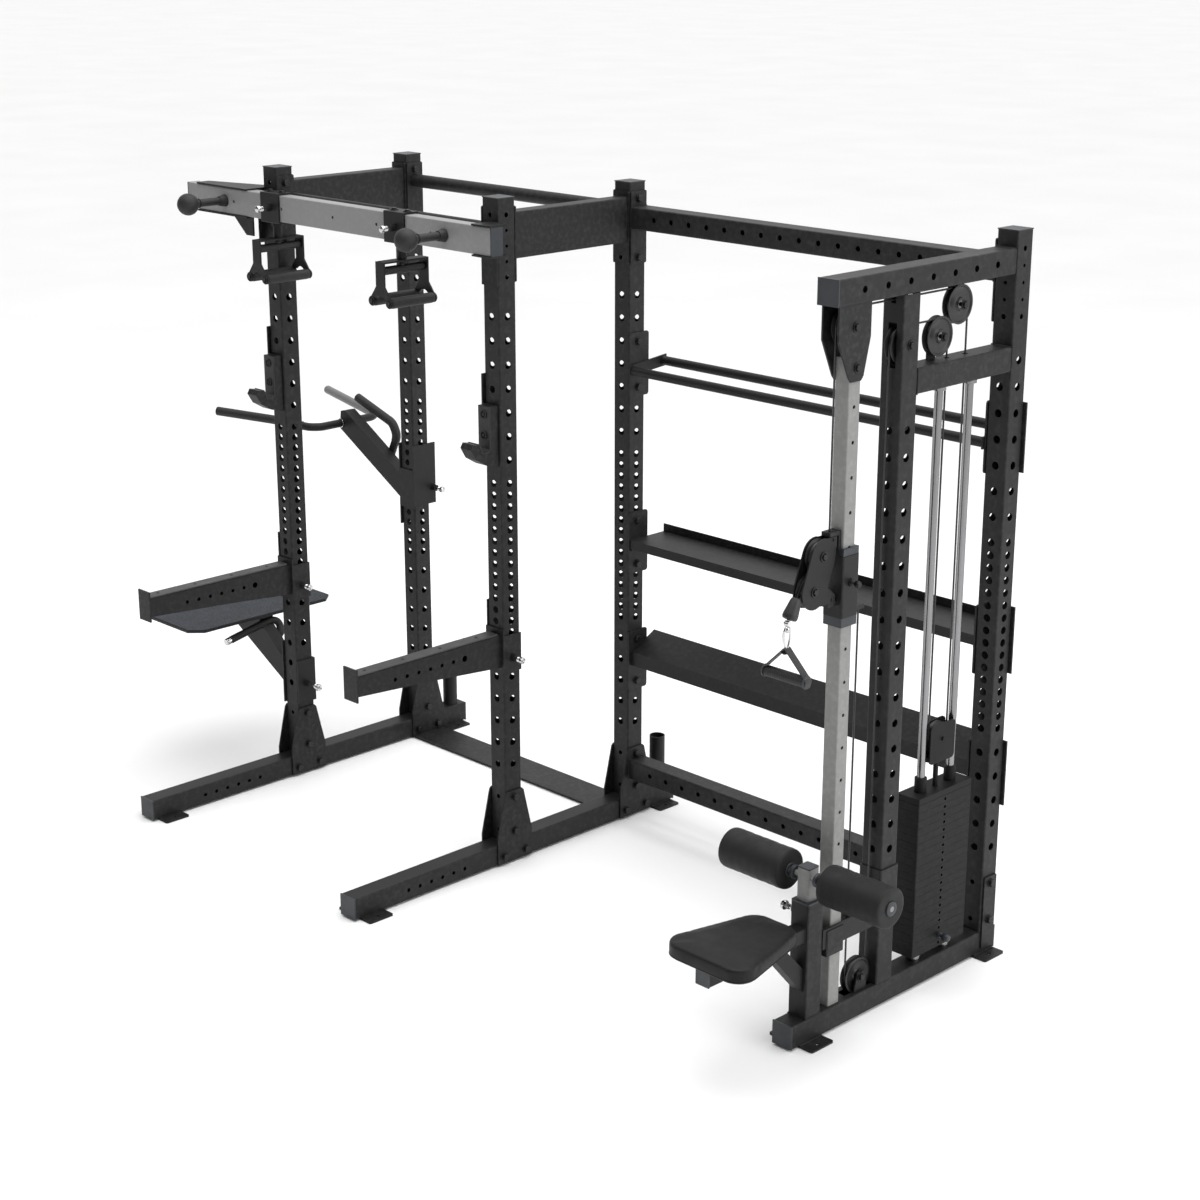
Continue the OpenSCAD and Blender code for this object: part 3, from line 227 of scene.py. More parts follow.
def rubber(name, color):
    """Ribbed grip rubber."""
    m, t, b, o = graph(name)
    c = ramp(t, noise(t, o, 90.0, 4.0), [(0.3, shade(color, 0.85)), (0.7, shade(color, 1.2))])
    t.links.new(c, b.inputs["Base Color"])
    b.inputs["Roughness"].default_value = 0.62
    bump(t, b, [(cells(t, o, 420.0, "DISTANCE_TO_EDGE"), 0.35, 0.0005)])
    return m


def webbing(name, color):
    """Woven nylon strap: crossing ribs."""
    m, t, b, o = graph(name)
    w1 = t.nodes.new("ShaderNodeTexWave")
    w1.inputs["Scale"].default_value = 180.0
    w1.bands_direction = "Z"
    t.links.new(o, w1.inputs["Vector"])
    w2 = t.nodes.new("ShaderNodeTexWave")
    w2.inputs["Scale"].default_value = 210.0
    w2.bands_direction = "Y"
    t.links.new(o, w2.inputs["Vector"])
    c = ramp(t, w1.outputs["Fac"], [(0.2, shade(color, 0.6)), (0.8, shade(color, 1.3))])
    t.links.new(c, b.inputs["Base Color"])
    b.inputs["Roughness"].default_value = 0.8
    b.inputs["Sheen Weight"].default_value = 0.25
    bump(t, b, [(w1.outputs["Fac"], 0.6, 0.0006), (w2.outputs["Fac"], 0.4, 0.0005)])
    return m


def tread(name):
    """Dark blue-grey anti-slip sheet with a mottled, gritty face."""
    m, t, b, o = graph(name)
    c = ramp(t, noise(t, o, 22.0, 8.0, 0.7),
             [(0.3, (0.006, 0.008, 0.012)), (0.5, (0.012, 0.016, 0.024)), (0.72, (0.024, 0.031, 0.042))])
    b.inputs["Specular IOR Level"].default_value = 0.3
    t.links.new(c, b.inputs["Base Color"])
    t.links.new(span(t, noise(t, o, 200.0, 4.0), 0.3, 0.7, 0.45, 0.75), b.inputs["Roughness"])
    bump(t, b, [(cells(t, o, 700.0), 0.6, 0.0007), (noise(t, o, 60.0, 6.0), 0.3, 0.001)])
    return m


M = {
    "black": painted("powder_black", (0.011, 0.011, 0.0115), 0.5, shine=0.26),
    "plate": painted("powder_black_plates", (0.009, 0.009, 0.0095), 0.48, shine=0.26),
    "rail": painted("rail_grey_coat", (0.23, 0.23, 0.23), 0.42, 1100.0, 0.06, (0.3, 0.3, 0.3)),
    "silver": painted("silver_coat", (0.215, 0.215, 0.21), 0.36, 1200.0, 0.05, (0.33, 0.33, 0.33)),
    "dip_grey": painted("handle_grey_coat", (0.14, 0.14, 0.14), 0.42, 1100.0, 0.06, (0.25, 0.25, 0.25)),
    "iron": painted("stack_paint", (0.006, 0.006, 0.0063), 0.58, 900.0, 0.06, (0.02, 0.02, 0.02), 0.2),
    "chrome": metal("polished_chrome", (0.62, 0.62, 0.63), 0.14, (1, 1, 0.08), 300.0, 0.02),
    "rod": metal("guide_rod_chrome", (0.26, 0.26, 0.265), 0.2, (1, 1, 0.04), 320.0, 0.04),
    "bolt": metal("black_oxide_steel", (0.045, 0.045, 0.046), 0.42, (1, 1, 1), 400.0, 0.1),
    "steel": metal("bearing_steel", (0.22, 0.22, 0.22), 0.34, (1, 1, 1), 300.0, 0.05),
    "cap": plastic("blue_black_plastic", (0.02, 0.024, 0.029), 0.45),
    "sheave": plastic("pulley_nylon", (0.009, 0.009, 0.0095), 0.42),
    "liner": plastic("liner_polymer", (0.009, 0.009, 0.0095), 0.5, 900.0, 0.2),
    "arm_liner": plastic("arm_liner_polymer", (0.03, 0.03, 0.031), 0.5, 900.0, 0.2),
    "cable": plastic("cable_jacket", (0.012, 0.012, 0.013), 0.3, 1600.0, 0.06),
    "leather": leather("seat_leather", (0.008, 0.008, 0.0085)),
    "foam": foam("roller_foam", (0.013, 0.013, 0.0135)),
    "rubber": rubber("grip_rubber", (0.009, 0.009, 0.009)),
    "web": webbing("strap_webbing", (0.013, 0.013, 0.0135)),
    "tread": tread("platform_tread"),
}


# Mesh helpers
def add(name, bm, mat, body, smooth=True, bevel=0.0):
    mesh = bpy.data.meshes.new(name)
    bm.normal_update()
    bm.to_mesh(mesh)
    bm.free()
    o = bpy.data.objects.new(name, mesh)
    bpy.context.collection.objects.link(o)
    mesh.materials.append(M[mat])
    if smooth:
        mesh.shade_smooth()
        mesh.set_sharp_from_angle(angle=math.radians(38))
    if bevel:
        add_bevel(o, bevel)
    if body:
        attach(o, body)
    return o


def add_bevel(o, width, angle=40.0, segments=2):
    mod = o.modifiers.new("edges", "BEVEL")
    mod.width = width
    mod.segments = segments
    mod.limit_method = "ANGLE"
    mod.angle_limit = math.radians(angle)
    mod.use_clamp_overlap = True
    mod.harden_normals = True


def frame_along(direction):
    return Vector(direction).normalized().to_track_quat("Z", "Y").to_matrix().to_4x4()


def revolve_into(bm, profile, origin, direction, steps=48):
    """Adds a surface of revolution: profile is (radius, height) pairs along direction."""
    m = Matrix.Translation(Vector(origin)) @ frame_along(direction)
    rings = []
    for r, h in profile:
        if r < 1e-6:
            rings.append([bm.verts.new(m @ Vector((0, 0, h)))])
            continue
        ring = []
        for i in range(steps):
            a = 2 * math.pi * i / steps
            ring.append(bm.verts.new(m @ Vector((r * math.cos(a), r * math.sin(a), h))))
        rings.append(ring)
    for a, b in zip(rings, rings[1:]):
        for i in range(steps):
            j = (i + 1) % steps
            if len(a) == 1 and len(b) == 1:
                continue
            if len(a) == 1:
                bm.faces.new((a[0], b[j], b[i]))
            elif len(b) == 1:
                bm.faces.new((a[i], a[j], b[0]))
            else:
                bm.faces.new((a[i], a[j], b[j], b[i]))


def revolve(name, profile, origin, direction, mat, body, steps=48):
    bm = bmesh.new()
    revolve_into(bm, profile, origin, direction, steps)
    bmesh.ops.recalc_face_normals(bm, faces=bm.faces)
    return add(name, bm, mat, body)


def sweep_into(bm, points, radius, closed=False, steps=14, flat=None):
    """Adds a round bar, or a flat strap of (width, thickness), along points."""
    pts = [Vector(p) for p in points]
    count = len(pts)
    rings = []
    side = None
    for i, p in enumerate(pts):
        if closed:
            d = pts[(i + 1) % count] - pts[i - 1]
        else:
            d = pts[min(i + 1, count - 1)] - pts[max(i - 1, 0)]
        d.normalize()
        if side is None:
            side = d.orthogonal().normalized()
            if abs(d.y) < 0.9:
                side = (Vector((0, 1, 0)) - d * d.y).normalized()
        else:
            side = (side - d * side.dot(d)).normalized()
        up = d.cross(side)
        ring = []
        for k in range(steps):
            a = 2 * math.pi * k / steps
            if flat:
                c = (math.copysign(abs(math.cos(a)) ** 0.25, math.cos(a)) * flat[0] / 2,
                     math.copysign(abs(math.sin(a)) ** 0.5, math.sin(a)) * flat[1] / 2)
            else:
                c = (math.cos(a) * radius, math.sin(a) * radius)
            ring.append(bm.verts.new(p + side * c[0] + up * c[1]))
        rings.append(ring)
    pairs = list(zip(rings, rings[1:]))
    if closed:
        pairs.append((rings[-1], rings[0]))
    for a, b in pairs:
        for k in range(steps):
            j = (k + 1) % steps
            bm.faces.new((a[k], a[j], b[j], b[k]))
    if not closed:
        bm.faces.new(rings[0][::-1])
        bm.faces.new(rings[-1])


def rounded_path(points, radius, steps=8):
    """A polyline with its corners replaced by arcs."""
    pts = [Vector(p) for p in points]
    out = [pts[0]]
    for a, b, c in zip(pts, pts[1:], pts[2:]):
        u = (a - b).normalized()
        v = (c - b).normalized()
        angle = u.angle(v)
        cut = min(radius / math.tan(angle / 2), (a - b).length * 0.45, (c - b).length * 0.45)
        for i in range(steps + 1):
            s = i / steps
            p = b + u * cut * (1 - s) ** 2 + v * cut * s ** 2
            out.append(p)
    out.append(pts[-1])
    return out


def sweep(name, points, radius, mat, body, **more):
    bm = bmesh.new()
    sweep_into(bm, points, radius, **more)
    bmesh.ops.recalc_face_normals(bm, faces=bm.faces)
    return add(name, bm, mat, body)


def slab_into(bm, outline, plane, a, b):
    """Adds a prism: outline in the plane's two axes, from a to b along the third."""
    third = 3 - plane[0] - plane[1]
    rings = []
    for v in (a, b):
        ring = []
        for p in outline:
            c = [0.0, 0.0, 0.0]
            c[plane[0]] = p[0]
            c[plane[1]] = p[1]
            c[third] = v
            ring.append(bm.verts.new(c))
        rings.append(ring)
    n = len(outline)
    bm.faces.new(rings[0])
    bm.faces.new(rings[1][::-1])
    for i in range(n):
        j = (i + 1) % n
        bm.faces.new((rings[0][i], rings[1][i], rings[1][j], rings[0][j]))


def slab(name, outline, plane, a, b, mat, body, bevel=0.001):
    bm = bmesh.new()
    slab_into(bm, outline, plane, a, b)
    bmesh.ops.recalc_face_normals(bm, faces=bm.faces)
    return add(name, bm, mat, body, bevel=bevel)


def corner_outline(x0, x1, y0, y1, r, steps=6):
    out = []
    corners = ((x1 - r, y1 - r, 0), (x0 + r, y1 - r, 90), (x0 + r, y0 + r, 180), (x1 - r, y0 + r, 270))
    for cx, cy, start in corners:
        for i in range(steps + 1):
            a = math.radians(start + 90 * i / steps)
            out.append((cx + r * math.cos(a), cy + r * math.sin(a)))
    return out


# Finishes of the CAD nodes
FINISH = {
    "front_rail": "rail", "guide_post": "silver", "roller_post": "silver", "guide_rods": "rod",
    "selector_pin": "chrome", "tower_cables": "cable", "end_caps": "cap", "swivel_housing": "plate",
    "weight_stack": "iron", "stack_carrier": "iron", "step_platform": "black", "joint_plates": "plate",
    "rail_brackets": "plate", "pulley_brackets": "plate", "ball_grips": "rubber",
    "left_j_hook": "plate", "right_j_hook": "plate",
    "left_pull_handle": "plate", "right_pull_handle": "plate",
    "left_trolley": "plate", "right_trolley": "plate", "frame_bolts": "bolt",
}
SQUARE = {"cage_bases", "tower_base", "front_posts", "rear_posts", "tower_rear_post", "tower_front_post",
          "joint_plates", "side_beams", "front_rail", "rail_brackets", "tower_beams", "pulley_brackets",
          "weight_stack", "bar_shelf", "flat_shelf", "tray_shelf", "seat_frame", "end_caps", "left_j_hook",
          "right_j_hook", "left_safety_arm", "right_safety_arm", "dip_station", "step_platform"}
for node_name, node_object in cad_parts.items():
    node_object.data.materials.clear()
    node_object.data.materials.append(M[FINISH.get(node_name, "black")])
    if node_name in SQUARE:
        add_bevel(node_object, 0.0012, 50.0)


# Pull pins: tip, spring collar with coils, and a rounded knob
def pull_pin(name, node, tip, direction, length, knob, body, mat="chrome"):
    r = knob
    k = length - 0.017
    profile = [(0.0, 0.0), (0.0042, 0.0), (0.005, 0.0012), (0.005, k - 0.013), (0.0078, k - 0.012)]
    for i in range(4):
        h = k - 0.011 + i * 0.0026
        profile += [(0.0078, h), (0.0088, h + 0.0008), (0.0078, h + 0.0018)]
    profile += [(0.006, k), (0.008, k + 0.001), (r * 0.8, k + 0.002), (r, k + 0.005), (r, k + 0.010),
                (r * 0.9, k + 0.0145), (r * 0.6, k + 0.0165), (0.0, k + 0.017)]
    o = revolve(name, profile, tip, direction, mat, body)
    if node:
        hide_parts(node)
    return o


PIN_LEFT = (TROLLEYS["left"], RAIL_Y - 0.0254, RAIL_MID)
PIN_RIGHT = (TROLLEYS["right"], RAIL_Y - 0.0254, RAIL_MID)
pull_pin("left_trolley_plunger", "left_trolley_pin", PIN_LEFT, (0, -1, 0), 0.064, 0.012,
         "trolley_plunger_left")
pull_pin("right_trolley_plunger", "right_trolley_pin", PIN_RIGHT, (0, -1, 0), 0.064, 0.012,
         "trolley_plunger_right")
pull_pin("carriage_plunger", "carriage_pin", (XE + 0.0257, YG, 1.4), (1, 0, 0), 0.044, 0.010,
         "carriage_plunger", "bolt")
pull_pin("seat_plunger", "seat_knob", (XE - 0.0227, SLEEVE_Y, 0.403), (-1, 0, 0), 0.072, 0.015,
         "seat_plunger")
pull_pin("dip_plunger", "dip_pin", (XA - 0.05, YR + 0.052, 1.02), (1, 0, 0), 0.158, 0.012, "dip_plunger")
pull_pin("platform_plunger", "platform_pin", (XA + HALF + 0.001, YF, 0.367), (1, 0, 0), 0.09, 0.014,
         "platform_plunger")
for side, x in (("left", XA), ("right", XC)):
    pull_pin(side + "_arm_plunger", None, (x + 0.045, YF, 0.757), (1, 0, 0), 0.052, 0.012, "arm_" + side)
    revolve(side + "_arm_pin_boss", [(0.0092, 0.0), (0.0125, 0.0), (0.0135, 0.001), (0.0135, 0.019),
                                     (0.012, 0.0205), (0.0092, 0.0205), (0.0092, 0.0)],
            (x + 0.0443, YF, 0.757), (1, 0, 0), "plate", "arm_" + side, 32)


# Pulleys: grooved rim, recessed web, steel bearing
def sheave(name, node, y, z, radius, groove, body, bore=0.00605, thick=0.024):
    t = thick / 2
    floor = groove - 0.0034
    hub = 0.017
    rim = [(radius - 0.0008, -t + 0.0004), (radius, -t + 0.0012), (radius, -t + 0.0026),
           (floor + 0.004, -0.0052), (floor + 0.0008, -0.0035), (floor, 0.0),
           (floor + 0.0008, 0.0035), (floor + 0.004, 0.0052),
           (radius, t - 0.0026), (radius, t - 0.0012), (radius - 0.0008, t - 0.0004)]
    web = [(radius - 0.006, t - 0.0002), (radius - 0.009, 0.0075), (radius - 0.010, 0.0068),
           (hub + 0.005, 0.0068), (hub + 0.003, 0.008), (hub + 0.001, t - 0.0006),
           (hub - 0.004, t - 0.0004), (hub - 0.005, t - 0.0012)]
    back = [(r, -h) for r, h in reversed(web)]
    profile = back + rim + web
    profile.append(profile[0])
    bm = bmesh.new()
    revolve_into(bm, profile, (XE, y, z), (1, 0, 0), 64)
    bmesh.ops.recalc_face_normals(bm, faces=bm.faces)
    o = add(name, bm, "sheave", body)
    ring = [(bore, -t + 0.0018), (0.0085, -t + 0.0014), (0.0095, -t + 0.0022), (0.0105, -t + 0.0014),
            (hub - 0.0045, -t + 0.0018), (hub - 0.0045, t - 0.0018), (0.0105, t - 0.0014),
            (0.0095, t - 0.0022), (0.0085, t - 0.0014), (bore, t - 0.0018), (bore, -t + 0.0018)]
    revolve(name + "_bearing", ring, (XE, y, z), (1, 0, 0), "steel", body)
    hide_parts(node)


TOP_Y = YG - 0.01
CROWN_Y = STACK_Y - 0.004
TRANSFER_Y = STACK_Y - 0.092
FLOOR_Y = YM - 0.096
sheave("top_wheel", "top_pulley", TOP_Y, 2.123, 0.056, 0.048, "top_sheave")
sheave("post_wheel", "post_pulley", YM, 2.042, 0.058, 0.048, "post_sheave")
sheave("crown_wheel", "crown_pulley", CROWN_Y, 2.123, 0.058, 0.048, "crown_sheave")
sheave("transfer_wheel", "transfer_pulley", TRANSFER_Y, 2.042, 0.058, 0.048, "transfer_sheave")
sheave("floor_wheel", "floor_pulley", FLOOR_Y, 0.126, 0.057, 0.048, "floor_sheave")
sheave("stack_wheel", "stack_pulley", STACK_Y, 0.798, 0.05, 0.044, "stack_sheave")
sheave("upper_swivel_wheel", "upper_swivel_pulley", SWIVEL_Y - 0.042, 1.491, 0.048, 0.042,
       "swivel_upper_sheave")
sheave("lower_swivel_wheel", "lower_swivel_pulley", SWIVEL_Y - 0.077, 1.396, 0.048, 0.042,
       "swivel_lower_sheave")


# Cable runs whose length changes with the stack or the carriage
def stretching_cable(name, node, strands, fixed, moving):
    bm = bmesh.new()
    for y in strands:
        pts = [(XE, y, fixed + (moving - fixed) * i / 60) for i in range(61)]
        sweep_into(bm, pts, 0.003, steps=12)
    bmesh.ops.recalc_face_normals(bm, faces=bm.faces)
    o = add(name, bm, "cable", None)
    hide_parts(node)
    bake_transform(o)


stretching_cable("stack_strands", "stack_cable", (STACK_Y - 0.044, STACK_Y + 0.044), 2.0416, 0.7984)
stretching_cable("upper_carriage_strand", "upper_carriage_cable", (SWIVEL_Y,), 2.1226, 1.5554)
stretching_cable("lower_carriage_strand", "lower_carriage_cable", (FLOOR_Y - 0.048,), 0.1264, 1.2986)


# Bolts: washer and chamfered hexagon head
def hex_bolt_into(bm, origin, direction, head=0.0125, height=0.009):
    washer = [(0.008, 0.0), (0.0148, 0.0), (0.015, 0.0006), (0.015, 0.0024), (0.0146, 0.003), (0.011, 0.003)]
    revolve_into(bm, washer, origin, direction, 24)
    m = Matrix.Translation(Vector(origin)) @ frame_along(direction)
    levels = [(0.003, 1.0), (0.003 + height - 0.0015, 1.0), (0.003 + height, 0.86)]
    rings = []
    for h, k in levels:
        ring = []
        for i in range(12):
            a = math.pi * i / 6
            r = head * (1.0 if i % 2 == 0 else 0.905)
            if k < 1.0:
                r = head * k
            ring.append(bm.verts.new(m @ Vector((r * math.cos(a), r * math.sin(a), h))))
        rings.append(ring)
    for a, b in zip(rings, rings[1:]):
        for i in range(12):
            j = (i + 1) % 12
            bm.faces.new((a[i], a[j], b[j], b[i]))
    bm.faces.new(rings[-1])


def frame_bolt_places():
    g = HALF + PLATE
    out = []
    for x, y in POSTS:
        for s in (-1, 1):
            for z in (0.245, 0.118):
                out.append(((x + s * g, y, z), (s, 0, 0)))
            for t in (-0.05, 0.05):
                out.append(((x + s * g, y + t, 0.034), (s, 0, 0)))
    for z in (2.257, 2.057):
        out.append(((XC + g, YR, z), (1, 0, 0)))
        for y in (YF, YR):
            out.append(((XA + g, y, z), (1, 0, 0)))
            out.append(((XC - g, y, z), (-1, 0, 0)))
        out.append(((XE - g, YR, z), (-1, 0, 0)))
    for s in (-1, 1):
        for z in (0.245, 0.118):
            out.append(((XE + s * g, YR, z), (s, 0, 0)))
    for z in (1.767, 1.607, 1.127, 0.967, 0.687, 0.527):
        out.append(((XC + g, YR, z), (1, 0, 0)))
        out.append(((XE - g, YR, z), (-1, 0, 0)))
    return out


bolts = bmesh.new()
for place, way in frame_bolt_places():
    hex_bolt_into(bolts, place, way)
AXLES = ((TOP_Y, 2.123, 0.0315), (CROWN_Y, 2.123, 0.024), (TRANSFER_Y, 2.042, 0.024), (FLOOR_Y, 0.126, 0.023),
         (YM, 2.042, HALF), (YG, 2.01, 0.0315))
for y, z, reach in AXLES:
    r = 0.006
    revolve_into(bolts, [(0.0, -reach), (r, -reach), (r, reach), (0.0, reach)], (XE, y, z), (1, 0, 0), 24)
    hex_bolt_into(bolts, (XE + reach, y, z), (1, 0, 0), 0.0105, 0.006)
    hex_bolt_into(bolts, (XE - reach, y, z), (-1, 0, 0), 0.0105, 0.006)
bmesh.ops.recalc_face_normals(bolts, faces=bolts.faces)
bolt_set = add("frame_bolt_set", bolts, "bolt", "frame", smooth=True)
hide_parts("frame_bolts")


# Weld beads along the joints
def bead(name, loops, body, mat="plate", r=0.0022):
    bm = bmesh.new()
    for loop in loops:
        pts = []
        n = len(loop)
        for i in range(n):
            a = Vector(loop[i])
            b = Vector(loop[(i + 1) % n])
            steps = max(2, int((b - a).length / 0.006))
            for k in range(steps):
                pts.append(a.lerp(b, k / steps))
        ripple = []
        for i, p in enumerate(pts):
            ripple.append(p + Vector((0, 0, 0.0003)) * math.sin(i * 2.1))
        sweep_into(bm, ripple, r, closed=True, steps=6)
    bmesh.ops.recalc_face_normals(bm, faces=bm.faces)
    return add(name, bm, mat, body)


def ring_points(x, y, z, r, n=24):
    turn = 2 * math.pi / n
    return [(x + r * math.cos(turn * i), y + r * math.sin(turn * i), z) for i in range(n)]


foot_loops = []
FEET = ((XA, YF - 0.636), (XA, YR + 0.139), (XC, YF - 0.636), (XC, YR + 0.139),
        (XE, YF - 0.258), (XE, YR - 0.012))
for fx, fy in FEET:
    foot_loops.append([(fx - HALF, fy - 0.048, 0.0075), (fx + HALF, fy - 0.048, 0.0075),
                       (fx + HALF, fy + 0.048, 0.0075), (fx - HALF, fy + 0.048, 0.0075)])
for fx in (XA, XC):
    foot_loops.append(ring_points(fx, YR + 0.155, 0.081, 0.0285))
bead("foot_welds", foot_loops, "frame")
beam_loops = []
for bx in (XA, XC):
    for by in (YF + HALF + PLATE, YR - HALF - PLATE):
        beam_loops.append([(bx - 0.03, by, 2.11), (bx + 0.03, by, 2.11), (bx + 0.03, by, 2.262),
                           (bx - 0.03, by, 2.262)])
for bx in (XC + HALF + PLATE, XE - HALF - PLATE):
    for bz in (2.156, 0.153):
        beam_loops.append([(bx, YR - HALF, bz), (bx, YR + HALF, bz), (bx, YR + HALF, bz + 0.075),
                           (bx, YR - HALF, bz + 0.075)])
for bz, by in ((2.186, YR - HALF), (1.897, YR - HALF), (1.897, YM + HALF)):
    beam_loops.append([(XE - HALF, by, bz), (XE + HALF, by, bz), (XE + HALF, by, bz + 0.075),
                       (XE - HALF, by, bz + 0.075)])
bead("beam_welds", beam_loops, "frame")
g0 = 0.025
bead("seat_welds", [[(XE - g0, SLEEVE_Y - 0.034, 0.329), (XE + g0, SLEEVE_Y - 0.034, 0.329),
                     (XE + g0, SLEEVE_Y - 0.034, 0.375), (XE - g0, SLEEVE_Y - 0.034, 0.375)],
                    [(XE - 0.034, SLEEVE_Y - 0.034, 0.082), (XE + 0.034, SLEEVE_Y - 0.034, 0.082),
                     (XE + 0.034, SLEEVE_Y + 0.034, 0.082), (XE - 0.034, SLEEVE_Y + 0.034, 0.082)]], "frame")


# Grip sleeves on the swivelling pull handles
def grip_sleeve(name, a, b, r, mat, body, cap=True):
    d = Vector(b) - Vector(a)
    n = d.length
    profile = [(0.0, 0.0), (r - 0.003, 0.0), (r - 0.0006, 0.001), (r, 0.003)]
    ribs = int(n / 0.009)
    for i in range(ribs):
        h = 0.006 + (n - 0.012) * i / ribs
        step = (n - 0.012) / ribs
        profile += [(r, h), (r + 0.0006, h + step * 0.3), (r + 0.0006, h + step * 0.6), (r, h + step * 0.8)]
    profile += [(r, n - 0.003), (r - 0.0006, n - 0.001), (r - 0.003, n), (0.0, n)]
    return revolve(name, profile, a, d, mat, body, 36)


for side, tx in TROLLEYS.items():
    body = "grip_" + side
    near, far = RAIL_Y - 0.09, RAIL_Y + 0.09
    grip_sleeve(side + "_upper_grip", (tx, near, 2.046), (tx, far, 2.046), 0.0138, "rubber", body)
    for k, t in enumerate((-1, 1)):
        gx = tx + t * 0.045
        grip_sleeve("%s_lower_grip_%d" % (side, k), (gx, near, 1.944), (gx, far, 1.944),
                    0.0175, "rubber", body)
        for s in (-1, 1):
            bm = bmesh.new()
            hex_bolt_into(bm, (gx, RAIL_Y + s * 0.097, 1.944), (0, s, 0), 0.009, 0.004)
            bmesh.ops.recalc_face_normals(bm, faces=bm.faces)
            add("%s_grip_bolt_%d_%s" % (side, k, "front" if s < 0 else "rear"), bm, "bolt", body)
    bm = bmesh.new()
    hex_bolt_into(bm, (tx, RAIL_Y, 2.0655), (0, 0, -1), 0.011, 0.005)
    for s in (-1, 1):
        hex_bolt_into(bm, (tx + s * 0.034, RAIL_Y, 2.2376), (0, 0, 1), 0.009, 0.005)
    bmesh.ops.recalc_face_normals(bm, faces=bm.faces)
    add(side + "_trolley_bolts", bm, "bolt", "trolley_" + side)


# J-hook liners and safety-arm liners
def j_liner(name, x, body):
    inner = [(-0.0715, 1.637), (-0.0715, 1.4925), (-0.0842, 1.4785), (-0.1115, 1.4845), (-0.1255, 1.5185)]
    off = [(-0.0775, 1.637), (-0.0775, 1.496), (-0.0865, 1.485), (-0.107, 1.4895), (-0.12, 1.5205)]
    outline = [(YF + a, z) for a, z in inner + off[::-1]]
    slab(name, outline, (1, 2), x - 0.028, x + 0.028, "liner", body, 0.0015)
    bm = bmesh.new()
    for z in (1.61, 1.54):
        hex_bolt_into(bm, (x, YF - 0.0775, z), (0, -1, 0), 0.006, 0.001)
    bmesh.ops.recalc_face_normals(bm, faces=bm.faces)
    add(name + "_screws", bm, "bolt", body)


j_liner("left_hook_liner", XA, "hook_left")
j_liner("right_hook_liner", XC, "hook_right")
for side, x in (("left", XA), ("right", XC)):
    y0, y1 = YF - 0.658, YF - 0.052
    z = 0.8421
    outline = [(x - 0.027, z), (x + 0.027, z), (x + 0.0275, z + 0.004), (x + 0.025, z + 0.0065),
               (x - 0.025, z + 0.0065), (x - 0.0275, z + 0.004)]
    slab(side + "_arm_liner", outline, (0, 2), y0, y1, "arm_liner", "arm_" + side, 0.001)
    bm = bmesh.new()
    for i in range(4):
        revolve_into(bm, [(0.006, 0.0), (0.006, 0.0008), (0.0045, 0.0014), (0.0025, 0.0008), (0.0, 0.0008)],
                     (x, y0 + 0.05 + i * 0.16, z + 0.0064), (0, 0, 1), 20)
    bmesh.ops.recalc_face_normals(bm, faces=bm.faces)
    add(side + "_arm_liner_screws", bm, "bolt", "arm_" + side)


# Dip station grips and end plugs
def lerp(a, b, t):
    return tuple(a[i] + (b[i] - a[i]) * t for i in range(3))


black_knee = (XA - 0.45, YR - 0.168, 1.214)
black_mid = (XA - 0.62, YR - 0.207, 1.222)
black_end = (XA - 0.87, YR - 0.31, 1.235)
grip_path = rounded_path([lerp(black_knee, black_mid, 0.2), black_mid, black_end], 0.3, 10)
sweep("dip_black_grip", grip_path, 0.0178, "rubber", "dip", steps=28)
grey_knee = (XA - 0.45, YR + 0.168, 1.214)
grey_end = (XA - 0.889, YR + 0.266, 1.235)
bm = bmesh.new()
way = Vector(grey_end) - Vector(grey_knee)
start = Vector(lerp(grey_knee, grey_end, 0.04))
full = way.length * 0.96
revolve_into(bm, [(0.0166, 0.0), (0.0174, 0.001), (0.0174, full - 0.004), (0.0168, full - 0.001),
                  (0.014, full + 0.001), (0.0, full + 0.002)], start, way, 40)
bmesh.ops.recalc_face_normals(bm, faces=bm.faces)
add("dip_grey_grip", bm, "dip_grey", "dip")
loop_corners = [(XA - 0.197, YR + 0.036, 1.1), (XA - 0.153, YR + 0.04, 1.196),
                (XA - 0.182, YR + 0.041, 1.242), (XA - 0.398, YR + 0.041, 1.311)]
sweep("dip_short_grip", rounded_path(loop_corners, 0.05, 8)[1:], 0.0176, "rubber", "dip", steps=28)
rings = bmesh.new()
for s in (-1, 1):
    revolve_into(rings, [(0.0162, 0.0), (0.019, 0.0005), (0.0195, 0.003), (0.0185, 0.006), (0.0162, 0.0065)],
                 (XA - 0.424, YR + s * 0.0255, 1.213), (0, s, 0), 36)
bmesh.ops.recalc_face_normals(rings, faces=rings.faces)
add("dip_bar_rings", rings, "chrome", "dip")
root_pad = corner_outline(YR - 0.036, YR + 0.036, 0.885, 0.945, 0.008)
slab("dip_root_pad", root_pad, (1, 2), XA - 0.0502, XA - 0.0445, "liner", "dip", 0.0015)
